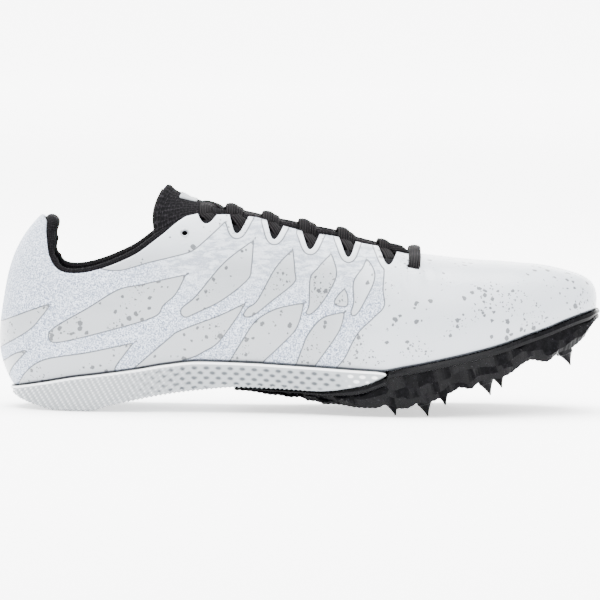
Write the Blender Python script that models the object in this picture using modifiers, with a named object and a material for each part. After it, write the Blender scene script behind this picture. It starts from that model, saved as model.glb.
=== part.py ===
# A track spike shoe for the right foot: a thin moulded upper on a foam wedge and a spiked plate.
# Metres, +X to the toe, +Z up, the outer side of the foot at -Y. The origin is where the heel rests.

import math

import bmesh
import bpy
import numpy as np

# Driving sizes of the last and the shoe
LENGTH = 0.2883            # back of the heel to the tip of the toe
REST_BACK = 0.0336         # back of the heel to the spot that it rests on
BALL_WIDTH = 0.094         # width unit across the ball
HEEL_WIDTH = 0.066         # width unit across the heel
HEEL_STACK = 0.0166        # height unit of the foam under the foot
TOE_SPRING = 0.0503        # height of the toe's tip above the floor
INSTEP = 0.0828            # height unit of the upper above its lower edge
TOE_SWING = 0.007          # how far the toe turns to the inner side
HEEL_BULGE = 0.0118        # how far the heel cup swells behind its edges

# Walls, gaps and trims
UPPER_WALL = 0.0018
GAP = 0.0003
LINING_WALL = 0.0025
LINING_RISE = 0.0030       # how far the collar lining stands above the upper
TONGUE_WALL = 0.0030
INSOLE_WALL = 0.0025
LOOP_WALL = 0.0010
LOOP_WIDTH = 0.0050
LACE_WIDTH = 0.0059
LACE_END_WIDTH = 0.0030
LACE_AHEAD = 0.0030         # how far ahead of a notch's lowest point one crossing ends
LACE_BEHIND = 0.0009        # and how far behind it the next one does
LACE_THICK = 0.0018
BAR_CROWN = 0.0012          # rise of the foremost bar over the middle
EYELET_RADIUS = 0.0020
WEDGE_RIM = 0.0020         # how far the wedge's top rim stands out of the upper
RIM_HEIGHT = 0.0018
TOOTH_PITCH = 0.0024       # serration along the wedge's lower edge
TOOTH_DEPTH = 0.0009
EDGE_RAISE = 0.0004         # how far the serrated edge lies above the underside
PLATE_RIM = 0.0012
PLATE_INSET = 0.0022       # how far the plate lies inside the wedge's edge
LUG_PITCH = 0.0094
FACET = 0.0016             # how far the plate's side ridges stand out
LOW_INSET = 0.0018         # how far the plate's lower edge lies inside the foot's outline
UNDER_INSET = 0.0075       # and where its underside starts
PIN_LENGTH = 0.00635
PIN_RADIUS = 0.0031
PIN_TIP = 0.0005
STUD_RADIUS = 0.0019
STUD_LENGTH = 0.0024
STUD_FIT = 0.00035
BOSS_RADIUS = 0.0056
BOSS_ROOT = 0.0080         # how deep a boss is rooted in the plate

# Notches in the throat's edge, shared by the upper, the loops and the lace
NOTCH_WIDTH = 0.0090
NOTCH_FOOT = 0.0020
NOTCH_DEPTH = 0.0078

# Sections of the upper from the back of the heel to the toe. Each leaves the sole at a share of the
# length, with shares of the half width on the outer and inner side, and rises to the collar, the
# throat or, with no edge width, the middle of the vamp.
SECTION_NAMES = ("at", "outer", "inner", "edge_at", "edge_width", "edge_height", "bulge", "arch")
SECTIONS = (
    (0.0235, 0.000, 0.000, 0.0659, 0.000, 0.997, 1.00, 0.00),
    (0.0380, 0.424, 0.424, 0.0730, 0.330, 0.963, 0.90, 0.00),
    (0.0750, 0.682, 0.682, 0.0770, 0.545, 0.838, 0.66, 0.00),
    (0.1150, 0.818, 0.818, 0.0835, 0.715, 0.695, 0.46, 0.00),
    (0.1550, 0.879, 0.875, 0.1010, 0.822, 0.599, 0.36, 0.00),
    (0.1950, 0.898, 0.885, 0.1350, 0.876, 0.568, 0.32, 0.05),
    (0.2400, 0.900, 0.870, 0.1790, 0.909, 0.582, 0.30, 0.10),
    (0.2850, 0.888, 0.840, 0.2255, 0.903, 0.628, 0.28, 0.20),
    (0.3300, 0.874, 0.805, 0.2647, 0.848, 0.712, 0.26, 0.32),
    (0.3750, 0.860, 0.762, 0.3000, 0.712, 0.813, 0.24, 0.45),
    (0.4150, 0.850, 0.725, 0.3328, 0.556, 0.870, 0.22, 0.55),
    (0.4600, 0.850, 0.710, 0.3800, 0.479, 0.871, 0.20, 0.62),
    (0.5150, 0.862, 0.730, 0.4450, 0.430, 0.835, 0.19, 0.68),
    (0.5700, 0.888, 0.775, 0.5080, 0.383, 0.776, 0.18, 0.74),
    (0.6200, 0.910, 0.830, 0.5680, 0.345, 0.751, 0.17, 0.80),
    (0.6700, 0.926, 0.885, 0.6320, 0.283, 0.681, 0.16, 0.86),
    (0.7150, 0.934, 0.925, 0.6720, 0.203, 0.609, 0.15, 0.92),
    (0.7550, 0.920, 0.940, 0.7000, 0.000, 0.562, 0.14, 1.00),
    (0.8200, 0.846, 0.902, 0.7650, 0.000, 0.482, 0.12, 1.00),
    (0.8800, 0.725, 0.808, 0.8250, 0.000, 0.401, 0.10, 1.00),
    (0.9300, 0.572, 0.662, 0.8750, 0.000, 0.327, 0.08, 1.00),
    (0.9680, 0.395, 0.455, 0.9150, 0.000, 0.259, 0.06, 1.00),
    (0.9900, 0.215, 0.240, 0.9450, 0.000, 0.212, 0.05, 1.00),
    (0.9965, 0.000, 0.000, 0.9650, 0.000, 0.181, 0.05, 1.00),
)

# The foot's floor, where the upper meets the sole: shares of the length, the stack and the toe spring
FLOOR = (
    (0.000, 0.50, 0.000), (0.040, 0.69, 0.000), (0.080, 0.84, 0.000), (0.126, 1.00, 0.000),
    (0.168, 1.10, 0.000), (0.232, 1.265, 0.000), (0.276, 1.40, 0.000), (0.334, 1.505, 0.000),
    (0.417, 1.48, 0.000), (0.487, 1.43, 0.000), (0.581, 1.36, 0.000), (0.630, 1.30, 0.008),
    (0.678, 1.10, 0.117), (0.729, 0.80, 0.276), (0.780, 0.50, 0.440), (0.832, 0.25, 0.600),
    (0.870, 0.10, 0.724), (0.922, 0.00, 0.859), (0.960, 0.00, 0.938), (0.998, 0.00, 1.000),
)

# Underside of the wedge: shares of the length and of the stack. It lies flat where the heel rests.
WEDGE_BOTTOM = (
    (0.0200, 0.400), (0.0400, 0.250), (0.0614, 0.130), (0.0980, 0.000), (0.1500, 0.000), (0.1900, 0.187),
    (0.2320, 0.349), (0.2755, 0.500), (0.3320, 0.639), (0.4027, 0.745), (0.4630, 0.729),
    (0.5280, 0.705), (0.6036, 0.886), (0.6400, 1.127),
)
WEDGE_START = 0.0245
WEDGE_END = 0.640
SERRATED_TO = 0.400
FLAT_FROM = 0.0980
FLAT_TO = 0.1500

# Lower edge of the plate with its lugs, and its underside inside them: shares of length and toe spring
PLATE_EDGE = (
    (0.3900, 0.222), (0.4280, 0.199), (0.4460, 0.186), (0.4640, 0.187), (0.4800, 0.168), (0.5015, 0.161),
    (0.5110, 0.138), (0.5250, 0.143), (0.5420, 0.104), (0.5567, 0.107), (0.6020, 0.0915), (0.6270, 0.094),
    (0.6470, 0.133), (0.6620, 0.092), (0.6780, 0.094), (0.6970, 0.145), (0.7130, 0.150), (0.7270, 0.177),
    (0.7540, 0.2445), (0.7666, 0.286), (0.7825, 0.274), (0.7976, 0.342), (0.8250, 0.372), (0.8460, 0.4155),
    (0.8710, 0.513), (0.8860, 0.549), (0.9080, 0.531), (0.9306, 0.604), (0.9500, 0.640), (0.9716, 0.725),
    (0.9790, 0.790), (0.9920, 0.900),
)
PLATE_UNDER = (
    (0.390, 0.232), (0.460, 0.205), (0.530, 0.175), (0.600, 0.148), (0.660, 0.142), (0.700, 0.168),
    (0.750, 0.252), (0.800, 0.352), (0.850, 0.452), (0.900, 0.556), (0.950, 0.685), (0.980, 0.800),
    (0.993, 0.910),
)
PLATE_STEP = 0.0012        # length of the step behind the wedge's nose, a share of the length
PLATE_END = 0.9955
FLARE_FROM = 0.500         # where the plate starts to come out from under the wedge

# Crown of the tongue above the throat's edges by section row: shares of the instep
CROWN_ROWS = (8.2, 9.0, 10.0, 11.0, 12.0, 13.0, 14.0, 15.0, 16.0, 17.0)
CROWN = (0.290, 0.180, 0.085, 0.060, 0.062, 0.092, 0.080, 0.066, 0.040, 0.000)
TONGUE_LEAN = 0.0030       # how far the middle of the tongue's top stands ahead of its corners
TONGUE_TOP_ROW = 8.2
TONGUE_TOE_ROW = 16.5
LINING_FRONT_ROW = 8.0
LINING_FOOT = 3            # ring of the wall at which the lining starts
TONGUE_FOOT = 5            # ring of the wall at which the tongue starts

# Notches: share of the length and share of the notch depth, from the top of the throat down
NOTCHES = ((0.3400, 0.62), (0.3930, 1.00), (0.4550, 1.00), (0.5150, 1.00), (0.5800, 1.00), (0.6450, 0.95))
EYELET_AT = 0.309          # unlaced eyelet, share of the length
EYELET_DROP = 0.0072       # its distance below the edge
SLOT_AT = 0.686            # slot for the foremost bar of the lace
SLOT_WAY = 0.84            # share of the way up to it
SLOT_LENGTH = 0.0070
SLOT_HEIGHT = 0.0026

LACE_REACH = 0.83          # share of the way to the throat's edge at which a crossing ends

# Pins: place of the tip as shares of the length and of half the ball's width (outer side negative),
# height of the tip as a share of the toe spring, and lean in degrees
PINS = (
    ("pin_outer_1", 0.6604, -0.66, 0.000, 15), ("pin_outer_2", 0.7138, -0.70, 0.000, 15),
    ("pin_outer_3", 0.8175, -0.60, 0.213, 19), ("pin_outer_4", 0.9497, -0.10, 0.505, 22),
    ("pin_inner_1", 0.7423, 0.64, 0.000, 15), ("pin_inner_2", 0.8380, 0.68, 0.232, 19),
    ("pin_inner_3", 0.9360, 0.42, 0.455, 22),
)

OUTER, INNER = -1, 1

# The facets of the wall, shared by all that lies against it: section rows, and ways up from the sole
WALL_ROWS = np.arange(0, len(SECTIONS) - 0.5, 0.5)
WALL_WAYS = np.linspace(0, 1, 8)


def hex_colour(code):
    """Linear colour of an sRGB hex code."""
    parts = [int(code[i:i + 2], 16) / 255 for i in (0, 2, 4)]
    return [c / 12.92 if c <= 0.04045 else ((c + 0.055) / 1.055) ** 2.4 for c in parts] + [1.0]


def material(name, code, roughness, metallic=0.0):
    made = bpy.data.materials.get(name)
    if made is None:
        made = bpy.data.materials.new(name)
        made.use_nodes = True
        shader = made.node_tree.nodes["Principled BSDF"]
        shader.inputs["Base Color"].default_value = hex_colour(code)
        shader.inputs["Roughness"].default_value = roughness
        shader.inputs["Metallic"].default_value = metallic
    return made


def smooth(t):
    t = np.clip(t, 0, 1)
    return t * t * (3 - 2 * t)


def curve(table, at, column=1):
    """A column of a table on a smooth curve through its rows, with no overshoot at flat stretches."""
    rows = np.array(table)
    x, y = rows[:, 0], rows[:, column]
    slopes = np.diff(y) / np.diff(x)
    inner = np.where(slopes[1:] * slopes[:-1] > 0,
                     2 * slopes[1:] * slopes[:-1] / (slopes[1:] + slopes[:-1] + 1e-12), 0)
    tangent = np.concatenate([slopes[:1], inner, slopes[-1:]])
    at = np.clip(at, x[0], x[-1])
    i = np.clip(np.searchsorted(x, at) - 1, 0, len(x) - 2)
    h = x[i + 1] - x[i]
    f = (at - x[i]) / h
    return ((1 + 2 * f) * (1 - f) ** 2 * y[i] + f * (1 - f) ** 2 * h * tangent[i]
            + f * f * (3 - 2 * f) * y[i + 1] + f * f * (f - 1) * h * tangent[i + 1])


def place_x(share):
    return share * LENGTH - REST_BACK


def axis_y(share):
    return TOE_SWING * smooth((share - 0.6) / 0.4)


def half_width(share):
    return (HEEL_WIDTH + (BALL_WIDTH - HEEL_WIDTH) * smooth((share - 0.3) / 0.4)) / 2


def share_of(x):
    return (x + REST_BACK) / LENGTH


def floor_z(share):
    return curve(FLOOR, share, 1) * HEEL_STACK + curve(FLOOR, share, 2) * TOE_SPRING


def wedge_z(share):
    return curve(WEDGE_BOTTOM, share) * HEEL_STACK


def sections(u):
    """The section table's columns at row numbers u, on a smooth curve that is mirrored at both ends."""
    rows = np.array(SECTIONS)
    flip = np.array([1, -1, -1, 1, -1, 1, 1, 1])
    rows = np.vstack([rows[1] * flip, rows, rows[-2] * flip])
    u = np.atleast_1d(np.asarray(u, float))
    i = np.clip(np.floor(u).astype(int), 0, len(SECTIONS) - 2)
    f = (u - i)[:, None]
    a, b, c, d = rows[i], rows[i + 1], rows[i + 2], rows[i + 3]
    value = 0.5 * (2 * b + (c - a) * f + (2 * a - 5 * b + 4 * c - d) * f ** 2
                   + (3 * b - a - 3 * c + d) * f ** 3)
    return dict(zip(SECTION_NAMES, value.T))


def foot_line(u, side):
    """Points where the upper meets the sole, in plan."""
    row = sections(u)
    width = row["outer"] if side == OUTER else row["inner"]
    return np.stack([place_x(row["at"]), axis_y(row["at"]) + side * width * half_width(row["at"])], -1)


def foot_normal(u, side):
    """Outward direction of the foot's outline in plan."""
    step = foot_line(u + 0.002, side) - foot_line(u - 0.002, side)
    normal = np.stack([step[:, 1], -step[:, 0]], -1) * -side
    return normal / np.linalg.norm(normal, axis=1)[:, None]


def upper_point(u, t, side):
    """The upper's outer face, at section rows u (down) and shares t of the way up (across)."""
    u = np.atleast_1d(np.asarray(u, float))
    t = np.atleast_1d(np.asarray(t, float))
    row = sections(u)
    foot = foot_line(u, side)
    edge_y = axis_y(row["edge_at"]) + side * np.maximum(row["edge_width"], 0) * half_width(row["edge_at"])
    edge_y = np.where(u >= 17, axis_y(row["edge_at"]), edge_y)
    edge = np.stack([place_x(row["edge_at"]), edge_y], -1)
    low = floor_z(row["at"])
    high = row["edge_height"] * INSTEP
    turn = np.clip(t, 0, 1) * math.pi / 2
    arch = row["arch"][:, None]
    inward = (1 - arch) * (1 - t) + arch * np.cos(turn) ** 0.80
    upward = (1 - arch) * t + arch * np.sin(turn) ** 0.80
    swell = HEEL_BULGE * row["bulge"][:, None] * (1 - np.abs(2 * t - 1) ** 3)
    plan = edge[:, None] + (foot - edge)[:, None] * inward[..., None]
    plan = plan + foot_normal(u, side)[:, None] * swell[..., None]
    return np.concatenate([plan, (low[:, None] + high[:, None] * upward)[..., None]], -1)


def inward_from(u, t, side, depth):
    """The upper's face moved inward by a depth, along its own normals."""
    small = 0.01
    low_t, high_t = np.clip(t - small, 0, 1), np.clip(t + small, 0, 1)
    across = upper_point(u + small, t, side) - upper_point(u - small, t, side)
    upward = upper_point(u, high_t, side) - upper_point(u, low_t, side)
    normal = np.cross(across, upward) * -side
    normal /= np.linalg.norm(normal, axis=2)[..., None]
    return upper_point(u, t, side) - normal * depth


def on_wall(u, t, side, depth):
    """Points on the wall's own facets at a depth inside its face."""
    grid = inward_from(WALL_ROWS, WALL_WAYS, side, depth)
    u, t = np.meshgrid(np.atleast_1d(u), np.atleast_1d(t), indexing="ij")
    i = np.clip(np.searchsorted(WALL_ROWS, u, side="right") - 1, 0, len(WALL_ROWS) - 2)
    j = np.clip(np.searchsorted(WALL_WAYS, t, side="right") - 1, 0, len(WALL_WAYS) - 2)
    f = ((u - WALL_ROWS[i]) / (WALL_ROWS[i + 1] - WALL_ROWS[i]))[..., None]
    g = ((t - WALL_WAYS[j]) / (WALL_WAYS[j + 1] - WALL_WAYS[j]))[..., None]
    low = grid[i, j] * (1 - f) + grid[i + 1, j] * f
    high = grid[i, j + 1] * (1 - f) + grid[i + 1, j + 1] * f
    return low * (1 - g) + high * g


def new_object(name, points, faces, group, skin):
    mesh = bpy.data.meshes.new(name)
    mesh.from_pydata([tuple(p) for p in points], [], [tuple(f) for f in faces])
    mesh.update()
    thing = bpy.data.objects.new(name, mesh)
    group.objects.link(thing)
    if skin is not None:
        mesh.materials.append(skin)
    return thing


def tidy_mesh(thing, outward=True):
    """Weld shared points, drop flat faces and turn every face outward."""
    made = bmesh.new()
    made.from_mesh(thing.data)
    bmesh.ops.remove_doubles(made, verts=made.verts, dist=0.00002)
    bmesh.ops.dissolve_degenerate(made, edges=made.edges, dist=0.00001)
    if outward:
        bmesh.ops.recalc_face_normals(made, faces=made.faces)
    made.to_mesh(thing.data)
    made.free()
    thing.data.shade_smooth()
    thing.data.set_sharp_from_angle(angle=math.radians(35))
    return thing


def grid_faces(rows, columns, flip=False):
    i, j = np.meshgrid(np.arange(rows - 1), np.arange(columns - 1), indexing="ij")
    first = (i * columns + j).ravel()
    quads = np.stack([first, first + 1, first + columns + 1, first + columns], -1)
    return quads[:, ::-1] if flip else quads


def sheet_object(name, grid, group, skin, wall, offset):
    """An open surface on a grid of points, with a wall put on by Solidify."""
    rows, columns = grid.shape[:2]
    thing = new_object(name, grid.reshape(-1, 3), grid_faces(rows, columns), group, skin)
    tidy_mesh(thing)
    solid = thing.modifiers.new("wall", "SOLIDIFY")
    solid.thickness = wall
    solid.offset = offset
    solid.use_even_offset = True
    solid.use_quality_normals = True
    return thing


def section_solid(name, grid, group, skin):
    """A closed solid through closed sections, one section a row, with both ends capped."""
    rows, columns = grid.shape[:2]
    index = np.arange(rows * columns).reshape(rows, columns)
    around = np.roll(index, -1, axis=1)
    quads = np.stack([index[:-1], around[:-1], around[1:], index[1:]], -1).reshape(-1, 4)
    faces = [tuple(q) for q in quads] + [tuple(index[0][::-1]), tuple(index[-1])]
    return tidy_mesh(new_object(name, grid.reshape(-1, 3), faces, group, skin))


def cut(thing, cutter, operation="DIFFERENCE"):
    boolean = thing.modifiers.new(operation.lower(), "BOOLEAN")
    boolean.operation = operation
    boolean.object = cutter
    return boolean


def prism(name, outline, low_y, high_y, group):
    """A cutter: a side-view outline, x and z, carried across from one y to another."""
    made = bmesh.new()
    ring = [made.verts.new((x, low_y, z)) for x, z in outline]
    face = made.faces.new(ring)
    moved = bmesh.ops.extrude_face_region(made, geom=[face])
    fresh = [v for v in moved["geom"] if isinstance(v, bmesh.types.BMVert)]
    bmesh.ops.translate(made, verts=fresh, vec=(0, high_y - low_y, 0))
    bmesh.ops.recalc_face_normals(made, faces=made.faces)
    mesh = bpy.data.meshes.new(name)
    made.to_mesh(mesh)
    made.free()
    thing = bpy.data.objects.new(name, mesh)
    thing.hide_render = True
    thing.display_type = "WIRE"
    group.objects.link(thing)
    return thing


def row_at_edge(share):
    """Section row whose collar or throat edge lies at a share of the length."""
    fine = np.linspace(2, 17, 601)
    return float(np.interp(share, sections(fine)["edge_at"], fine))


def row_at_foot(share):
    fine = np.linspace(0, len(SECTIONS) - 1, 1201)
    return np.interp(share, sections(fine)["at"], fine)


def make_upper(group, cutters):
    """The upper: one thin wall, open at collar, throat and underneath."""
    outer = upper_point(WALL_ROWS[::-1], WALL_WAYS, OUTER)
    inner = upper_point(WALL_ROWS, WALL_WAYS, INNER)[1:]
    grid = np.concatenate([outer, inner])
    upper = sheet_object("upper", grid, group, material("moulded_film", "DFE4E8", 0.42), UPPER_WALL, -1)
    top = INSTEP * 2
    for number, (share, depth) in enumerate(NOTCHES, 1):
        edge = upper_point(row_at_edge(share), 1.0, OUTER)[0, 0]
        low = edge[2] - NOTCH_DEPTH * depth
        x, half, foot = edge[0], NOTCH_WIDTH / 2, NOTCH_FOOT / 2
        outline = ((x - half * 0.8, top), (x - half * 0.8, edge[2] + 0.001), (x - foot, low + foot), (x, low),
                   (x + foot, low + foot), (x + half * 1.2, edge[2]), (x + half * 1.2, top))
        for side, label in ((OUTER, "outer"), (INNER, "inner")):
            reach = side * BALL_WIDTH
            cutter = prism(f"notch_{label}_{number}", outline, *sorted((side * 0.002, reach)), cutters)
            cut(upper, cutter)
    edge = upper_point(row_at_edge(EYELET_AT), 1.0, OUTER)[0, 0]
    centre = (edge[0] + 0.0015, edge[2] - EYELET_DROP)
    angles = np.linspace(0, 2 * math.pi, 12, endpoint=False)
    ring = [(centre[0] + EYELET_RADIUS * math.cos(a), centre[1] + EYELET_RADIUS * math.sin(a)) for a in angles]
    for side, label in ((OUTER, "outer"), (INNER, "inner")):
        cut(upper, prism(f"eyelet_{label}", ring, *sorted((side * 0.004, side * BALL_WIDTH)), cutters))
    slot = upper_point(row_at_edge(SLOT_AT), SLOT_WAY, OUTER)[0, 0]
    half, rise = SLOT_LENGTH / 2, SLOT_HEIGHT / 2
    outline = ((slot[0] - half, slot[2] - rise), (slot[0] + half, slot[2] - rise),
               (slot[0] + half, slot[2] + rise), (slot[0] - half, slot[2] + rise))
    for side, label in ((OUTER, "outer"), (INNER, "inner")):
        cut(upper, prism(f"slot_{label}", outline, *sorted((side * 0.008, side * BALL_WIDTH)), cutters))
    return upper


def make_lining(group):
    """The padded knit lining of the collar, just inside the upper and a little above its edge."""
    u = WALL_ROWS[WALL_ROWS <= LINING_FRONT_ROW]
    depth = UPPER_WALL + 2 * GAP
    halves = []
    for side in (OUTER, INNER):
        face = inward_from(u, WALL_WAYS[LINING_FOOT:], side, depth)
        rim = face[:, -1:].copy()
        lean = (face[:, -1:] - face[:, -2:-1])
        lean /= np.linalg.norm(lean, axis=2)[..., None]
        rim = rim + lean * LINING_RISE
        halves.append(np.concatenate([face, rim], axis=1))
    halves[0][0] = halves[1][0] = (halves[0][0] + halves[1][0]) / 2
    grid = np.concatenate([halves[0][::-1], halves[1][1:]])
    return sheet_object("collar_lining", grid, group, material("spacer_knit", "2B2A2D", 0.85), LINING_WALL, -1)


def tongue_face(u):
    """Outer face of the tongue at section rows u: under the upper at both sides, crowned between."""
    u = np.atleast_1d(np.asarray(u, float))
    depth = UPPER_WALL + 2 * GAP + LOOP_WALL + GAP
    left, right = (on_wall(u, WALL_WAYS[TONGUE_FOOT:], side, depth) for side in (OUTER, INNER))
    crown = curve(list(zip(CROWN_ROWS, CROWN)), u) * INSTEP
    lean = TONGUE_LEAN * np.clip((9.5 - u) / (9.5 - TONGUE_TOP_ROW), 0, 1)
    across = np.array([-0.66, -0.33, 0.0, 0.33, 0.66])
    a, b = left[:, -1], right[:, -1]
    share = (across[None, :, None] + 1) / 2
    middle = a[:, None] * (1 - share) + b[:, None] * share
    rise = 1 - across ** 2
    middle[..., 2] += crown[:, None] * rise
    middle[..., 0] += lean[:, None] * rise
    return np.concatenate([left, middle, right[:, ::-1]], axis=1)


def make_tongue(group):
    inside = (WALL_ROWS > TONGUE_TOP_ROW) & (WALL_ROWS <= TONGUE_TOE_ROW)
    u = np.concatenate([[TONGUE_TOP_ROW], WALL_ROWS[inside]])
    return sheet_object("tongue", tongue_face(u), group, material("knit_mesh", "2A292C", 0.85), TONGUE_WALL, -1)


def sole_outline(u, out):
    """Both sides of the foot's outline moved outward, as two arrays of plan points."""
    return [foot_line(u, side) + foot_normal(u, side) * out for side in (OUTER, INNER)]


def inset(u, by):
    """Both sides of the foot's outline moved straight across towards the foot's axis."""
    sides = []
    for side in (OUTER, INNER):
        line = foot_line(u, side)
        middle = axis_y(sections(u)["at"])
        reach = np.abs(line[:, 1] - middle)
        line[:, 1] = middle + side * np.maximum(reach - by, reach * 0.3)
        sides.append(line)
    return sides


def lifted(plan, z):
    """Plan points with their heights, or with a height worked out from each point's own place."""
    height = z(share_of(plan[..., 0])) if callable(z) else np.asarray(z, float)
    return np.concatenate([plan, np.broadcast_to(height, plan.shape[:-1])[..., None]], -1)


def stations(first, last, pitch):
    """Section rows spaced evenly along the foot's outline between two shares of the length."""
    fine = np.linspace(float(row_at_foot(first)), float(row_at_foot(last)), 2001)
    line = foot_line(fine, OUTER)
    run = np.concatenate([[0], np.cumsum(np.linalg.norm(np.diff(line, axis=0), axis=1))])
    count = max(int(round(run[-1] / pitch)), 1)
    return np.interp(np.linspace(0, run[-1], count + 1), run, fine)


def wedge_front():
    """Section rows of the wedge ahead of its serration, which the plate under it shares."""
    return stations(SERRATED_TO, WEDGE_END, 0.006)


def make_wedge(group):
    """The pale foam wedge, with a rim at its top and a serrated lower edge."""
    u = np.concatenate([stations(WEDGE_START, SERRATED_TO, TOOTH_PITCH / 2), wedge_front()[1:]])
    share = sections(u)["at"]
    tooth = np.where(np.arange(len(u)) % 2 == 1, TOOTH_DEPTH, 0) * (share < SERRATED_TO)
    flat = (share > FLAT_FROM) & (share < FLAT_TO)
    raised = EDGE_RAISE * (share < SERRATED_TO)
    rim = sole_outline(u, WEDGE_RIM)
    under = sole_outline(u, WEDGE_RIM - 0.0009)
    low = sole_outline(u, 0.0006)
    inner = inset(u, UNDER_INSET)
    centre = (rim[0] + rim[1]) / 2

    def top(share):
        return floor_z(share) - GAP

    def below_rim(share):
        return floor_z(share) - GAP - RIM_HEIGHT

    def edge(share):
        return wedge_z(share) + tooth + raised

    def under_foot(share):
        return np.where(flat, 0, wedge_z(share) + tooth * 0.4)

    grid = np.stack([
        lifted(centre, top), lifted(rim[0], top), lifted(under[0], below_rim), lifted(low[0], edge),
        lifted(inner[0], under_foot), lifted((inner[0] + inner[1]) / 2, under_foot),
        lifted(inner[1], under_foot), lifted(low[1], edge), lifted(under[1], below_rim), lifted(rim[1], top),
    ], axis=1)
    return section_solid("wedge", grid, group, material("moulded_foam", "D2D6D9", 0.6))


def make_plate(group, cutters):
    """The black spiked plate: faceted sides, lugs along its edge and a boss for every pin."""
    step = WEDGE_END + 2 * GAP / LENGTH
    behind = np.append(wedge_front()[:-1], row_at_foot(step))
    ahead = stations(step + PLATE_STEP, PLATE_END, LUG_PITCH / 2)
    u = np.concatenate([behind, ahead])
    share = sections(u)["at"]
    on_wedge = np.arange(len(u)) < len(behind)

    def upper_face(share):
        return np.where(on_wedge, wedge_z(share), floor_z(share)) - GAP

    top = upper_face(share)
    edge_z = np.minimum(curve(PLATE_EDGE, share) * TOE_SPRING, top - 0.0012)
    under_z = np.minimum(curve(PLATE_UNDER, share) * TOE_SPRING, top - 0.0010)
    ridge = np.where(np.arange(len(u)) % 2 == 1, FACET, 0)
    flare = smooth((share - FLARE_FROM) / (WEDGE_END - FLARE_FROM))
    out = (PLATE_RIM * flare - PLATE_INSET * (1 - flare))[:, None]
    depth = np.clip((top - edge_z) * 0.45, 0.0006, 0.0060)
    rim = [foot_line(u, side) + foot_normal(u, side) * out for side in (OUTER, INNER)]
    rand = [foot_line(u, side) + foot_normal(u, side) * (out + ridge[:, None]) for side in (OUTER, INNER)]
    low = inset(u, LOW_INSET)
    inner = inset(u, UNDER_INSET)
    middle = (rim[0] + rim[1]) / 2
    grid = np.stack([
        lifted(middle, upper_face), lifted(rim[0], upper_face), lifted(rand[0], top - depth), lifted(low[0], edge_z),
        lifted(inner[0], under_z), lifted((inner[0] + inner[1]) / 2, under_z), lifted(inner[1], under_z),
        lifted(low[1], edge_z), lifted(rand[1], top - depth), lifted(rim[1], upper_face),
    ], axis=1)
    plate = section_solid("spike_plate", grid, group, material("glossy_nylon", "1B1B1E", 0.22))
    for name, seat, way in pin_places():
        boss = turned(f"{name}_boss", [(BOSS_RADIUS, BOSS_ROOT), (BOSS_RADIUS * 0.8, 0)], seat, way, cutters, 10)
        cut(plate, boss, "UNION")
    for name, seat, way in pin_places():
        bore = turned(f"{name}_bore", [(STUD_RADIUS + STUD_FIT, STUD_LENGTH + STUD_FIT),
                                       (STUD_RADIUS + STUD_FIT, -0.001)], seat, way, cutters, 10)
        cut(plate, bore)
    return plate


def pin_places():
    """Name, seat and downward direction of every pin, worked out from where its tip is."""
    places = []
    for name, share, aside, height, lean in PINS:
        angle = math.radians(lean)
        way = np.array([math.sin(angle), 0, -math.cos(angle)])
        tip = np.array([place_x(share), aside * BALL_WIDTH / 2,
                        height * TOE_SPRING + PIN_TIP * math.sin(angle) * (height == 0)])
        places.append((name, tip - way * (PIN_LENGTH + GAP), way))
    return places


def turned(name, profile, seat, way, group, sides, skin=None):
    """A round solid on an axis: radii at distances back from the seat, against the way that it points."""
    across = np.array([0.0, 1.0, 0.0])
    third = np.cross(way, across)
    angles = np.linspace(0, 2 * math.pi, sides, endpoint=False)
    ring = np.cos(angles)[:, None] * across + np.sin(angles)[:, None] * third
    grid = np.stack([seat - way * back + ring * radius for radius, back in profile])
    thing = section_solid(name, grid, group, skin)
    if skin is None:
        thing.hide_render = True
        thing.display_type = "WIRE"
    return thing


def make_pins(group):
    """Steel pins: a stud in the plate's bore and a tapered spike below it."""
    steel = material("steel_pin", "B9BABD", 0.28, 1.0)
    for name, seat, way in pin_places():
        profile = [(STUD_RADIUS, STUD_LENGTH), (STUD_RADIUS, -GAP), (PIN_RADIUS, -GAP), (PIN_RADIUS, -GAP - 0.0007),
                   (PIN_RADIUS * 0.62, -GAP - 0.0016), (PIN_TIP, -GAP - PIN_LENGTH)]
        turned(name, profile, seat, way, group, 8, steel)


def make_insole(group):
    """A thin insole on the foot's floor, clear of the upper's wall."""
    u = np.linspace(1.0, len(SECTIONS) - 2.0, 32)
    left, right = sole_outline(u, -(UPPER_WALL + 0.0012))
    share_across = np.array([0.0, 0.5, 1.0])
    plan = left[:, None] * (1 - share_across[None, :, None]) + right[:, None] * share_across[None, :, None]
    grid = lifted(plan, lambda share: floor_z(share) + GAP)
    insole = sheet_object("insole", grid, group, material("insole_cloth", "8E9296", 0.9), INSOLE_WALL, 1)
    normals = insole.data.polygons[0].normal.z
    insole.modifiers["wall"].offset = 1 if normals > 0 else -1
    return insole


def tongue_point(u, across):
    """A place on the tongue's outer face, from one throat edge (-1) to the other (1)."""
    u = np.asarray(u, float)
    face = tongue_face(u)
    points = face[:, 2:9]
    marks = np.array([-1, -0.66, -0.33, 0, 0.33, 0.66, 1])
    out = np.stack([[np.interp(a, marks, points[i, :, k]) for k in range(3)] for i, a in enumerate(across)])
    lift = LACE_THICK / 2 + 2.2 * GAP
    ahead = tongue_face(u + 0.05)[:, 2:9]
    step = np.stack([[np.interp(a, marks, ahead[i, :, k]) for k in range(3)] for i, a in enumerate(across)]) - out
    near = np.clip(across + 0.04, -1, 1)
    side = np.stack([[np.interp(a, marks, points[i, :, k]) for k in range(3)] for i, a in enumerate(near)])
    far = np.clip(across - 0.04, -1, 1)
    side -= np.stack([[np.interp(a, marks, points[i, :, k]) for k in range(3)] for i, a in enumerate(far)])
    normal = np.cross(step, side)
    normal *= np.sign(normal[:, 2])[:, None]
    normal /= np.linalg.norm(normal, axis=1)[:, None]
    return out + normal * lift, normal


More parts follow.
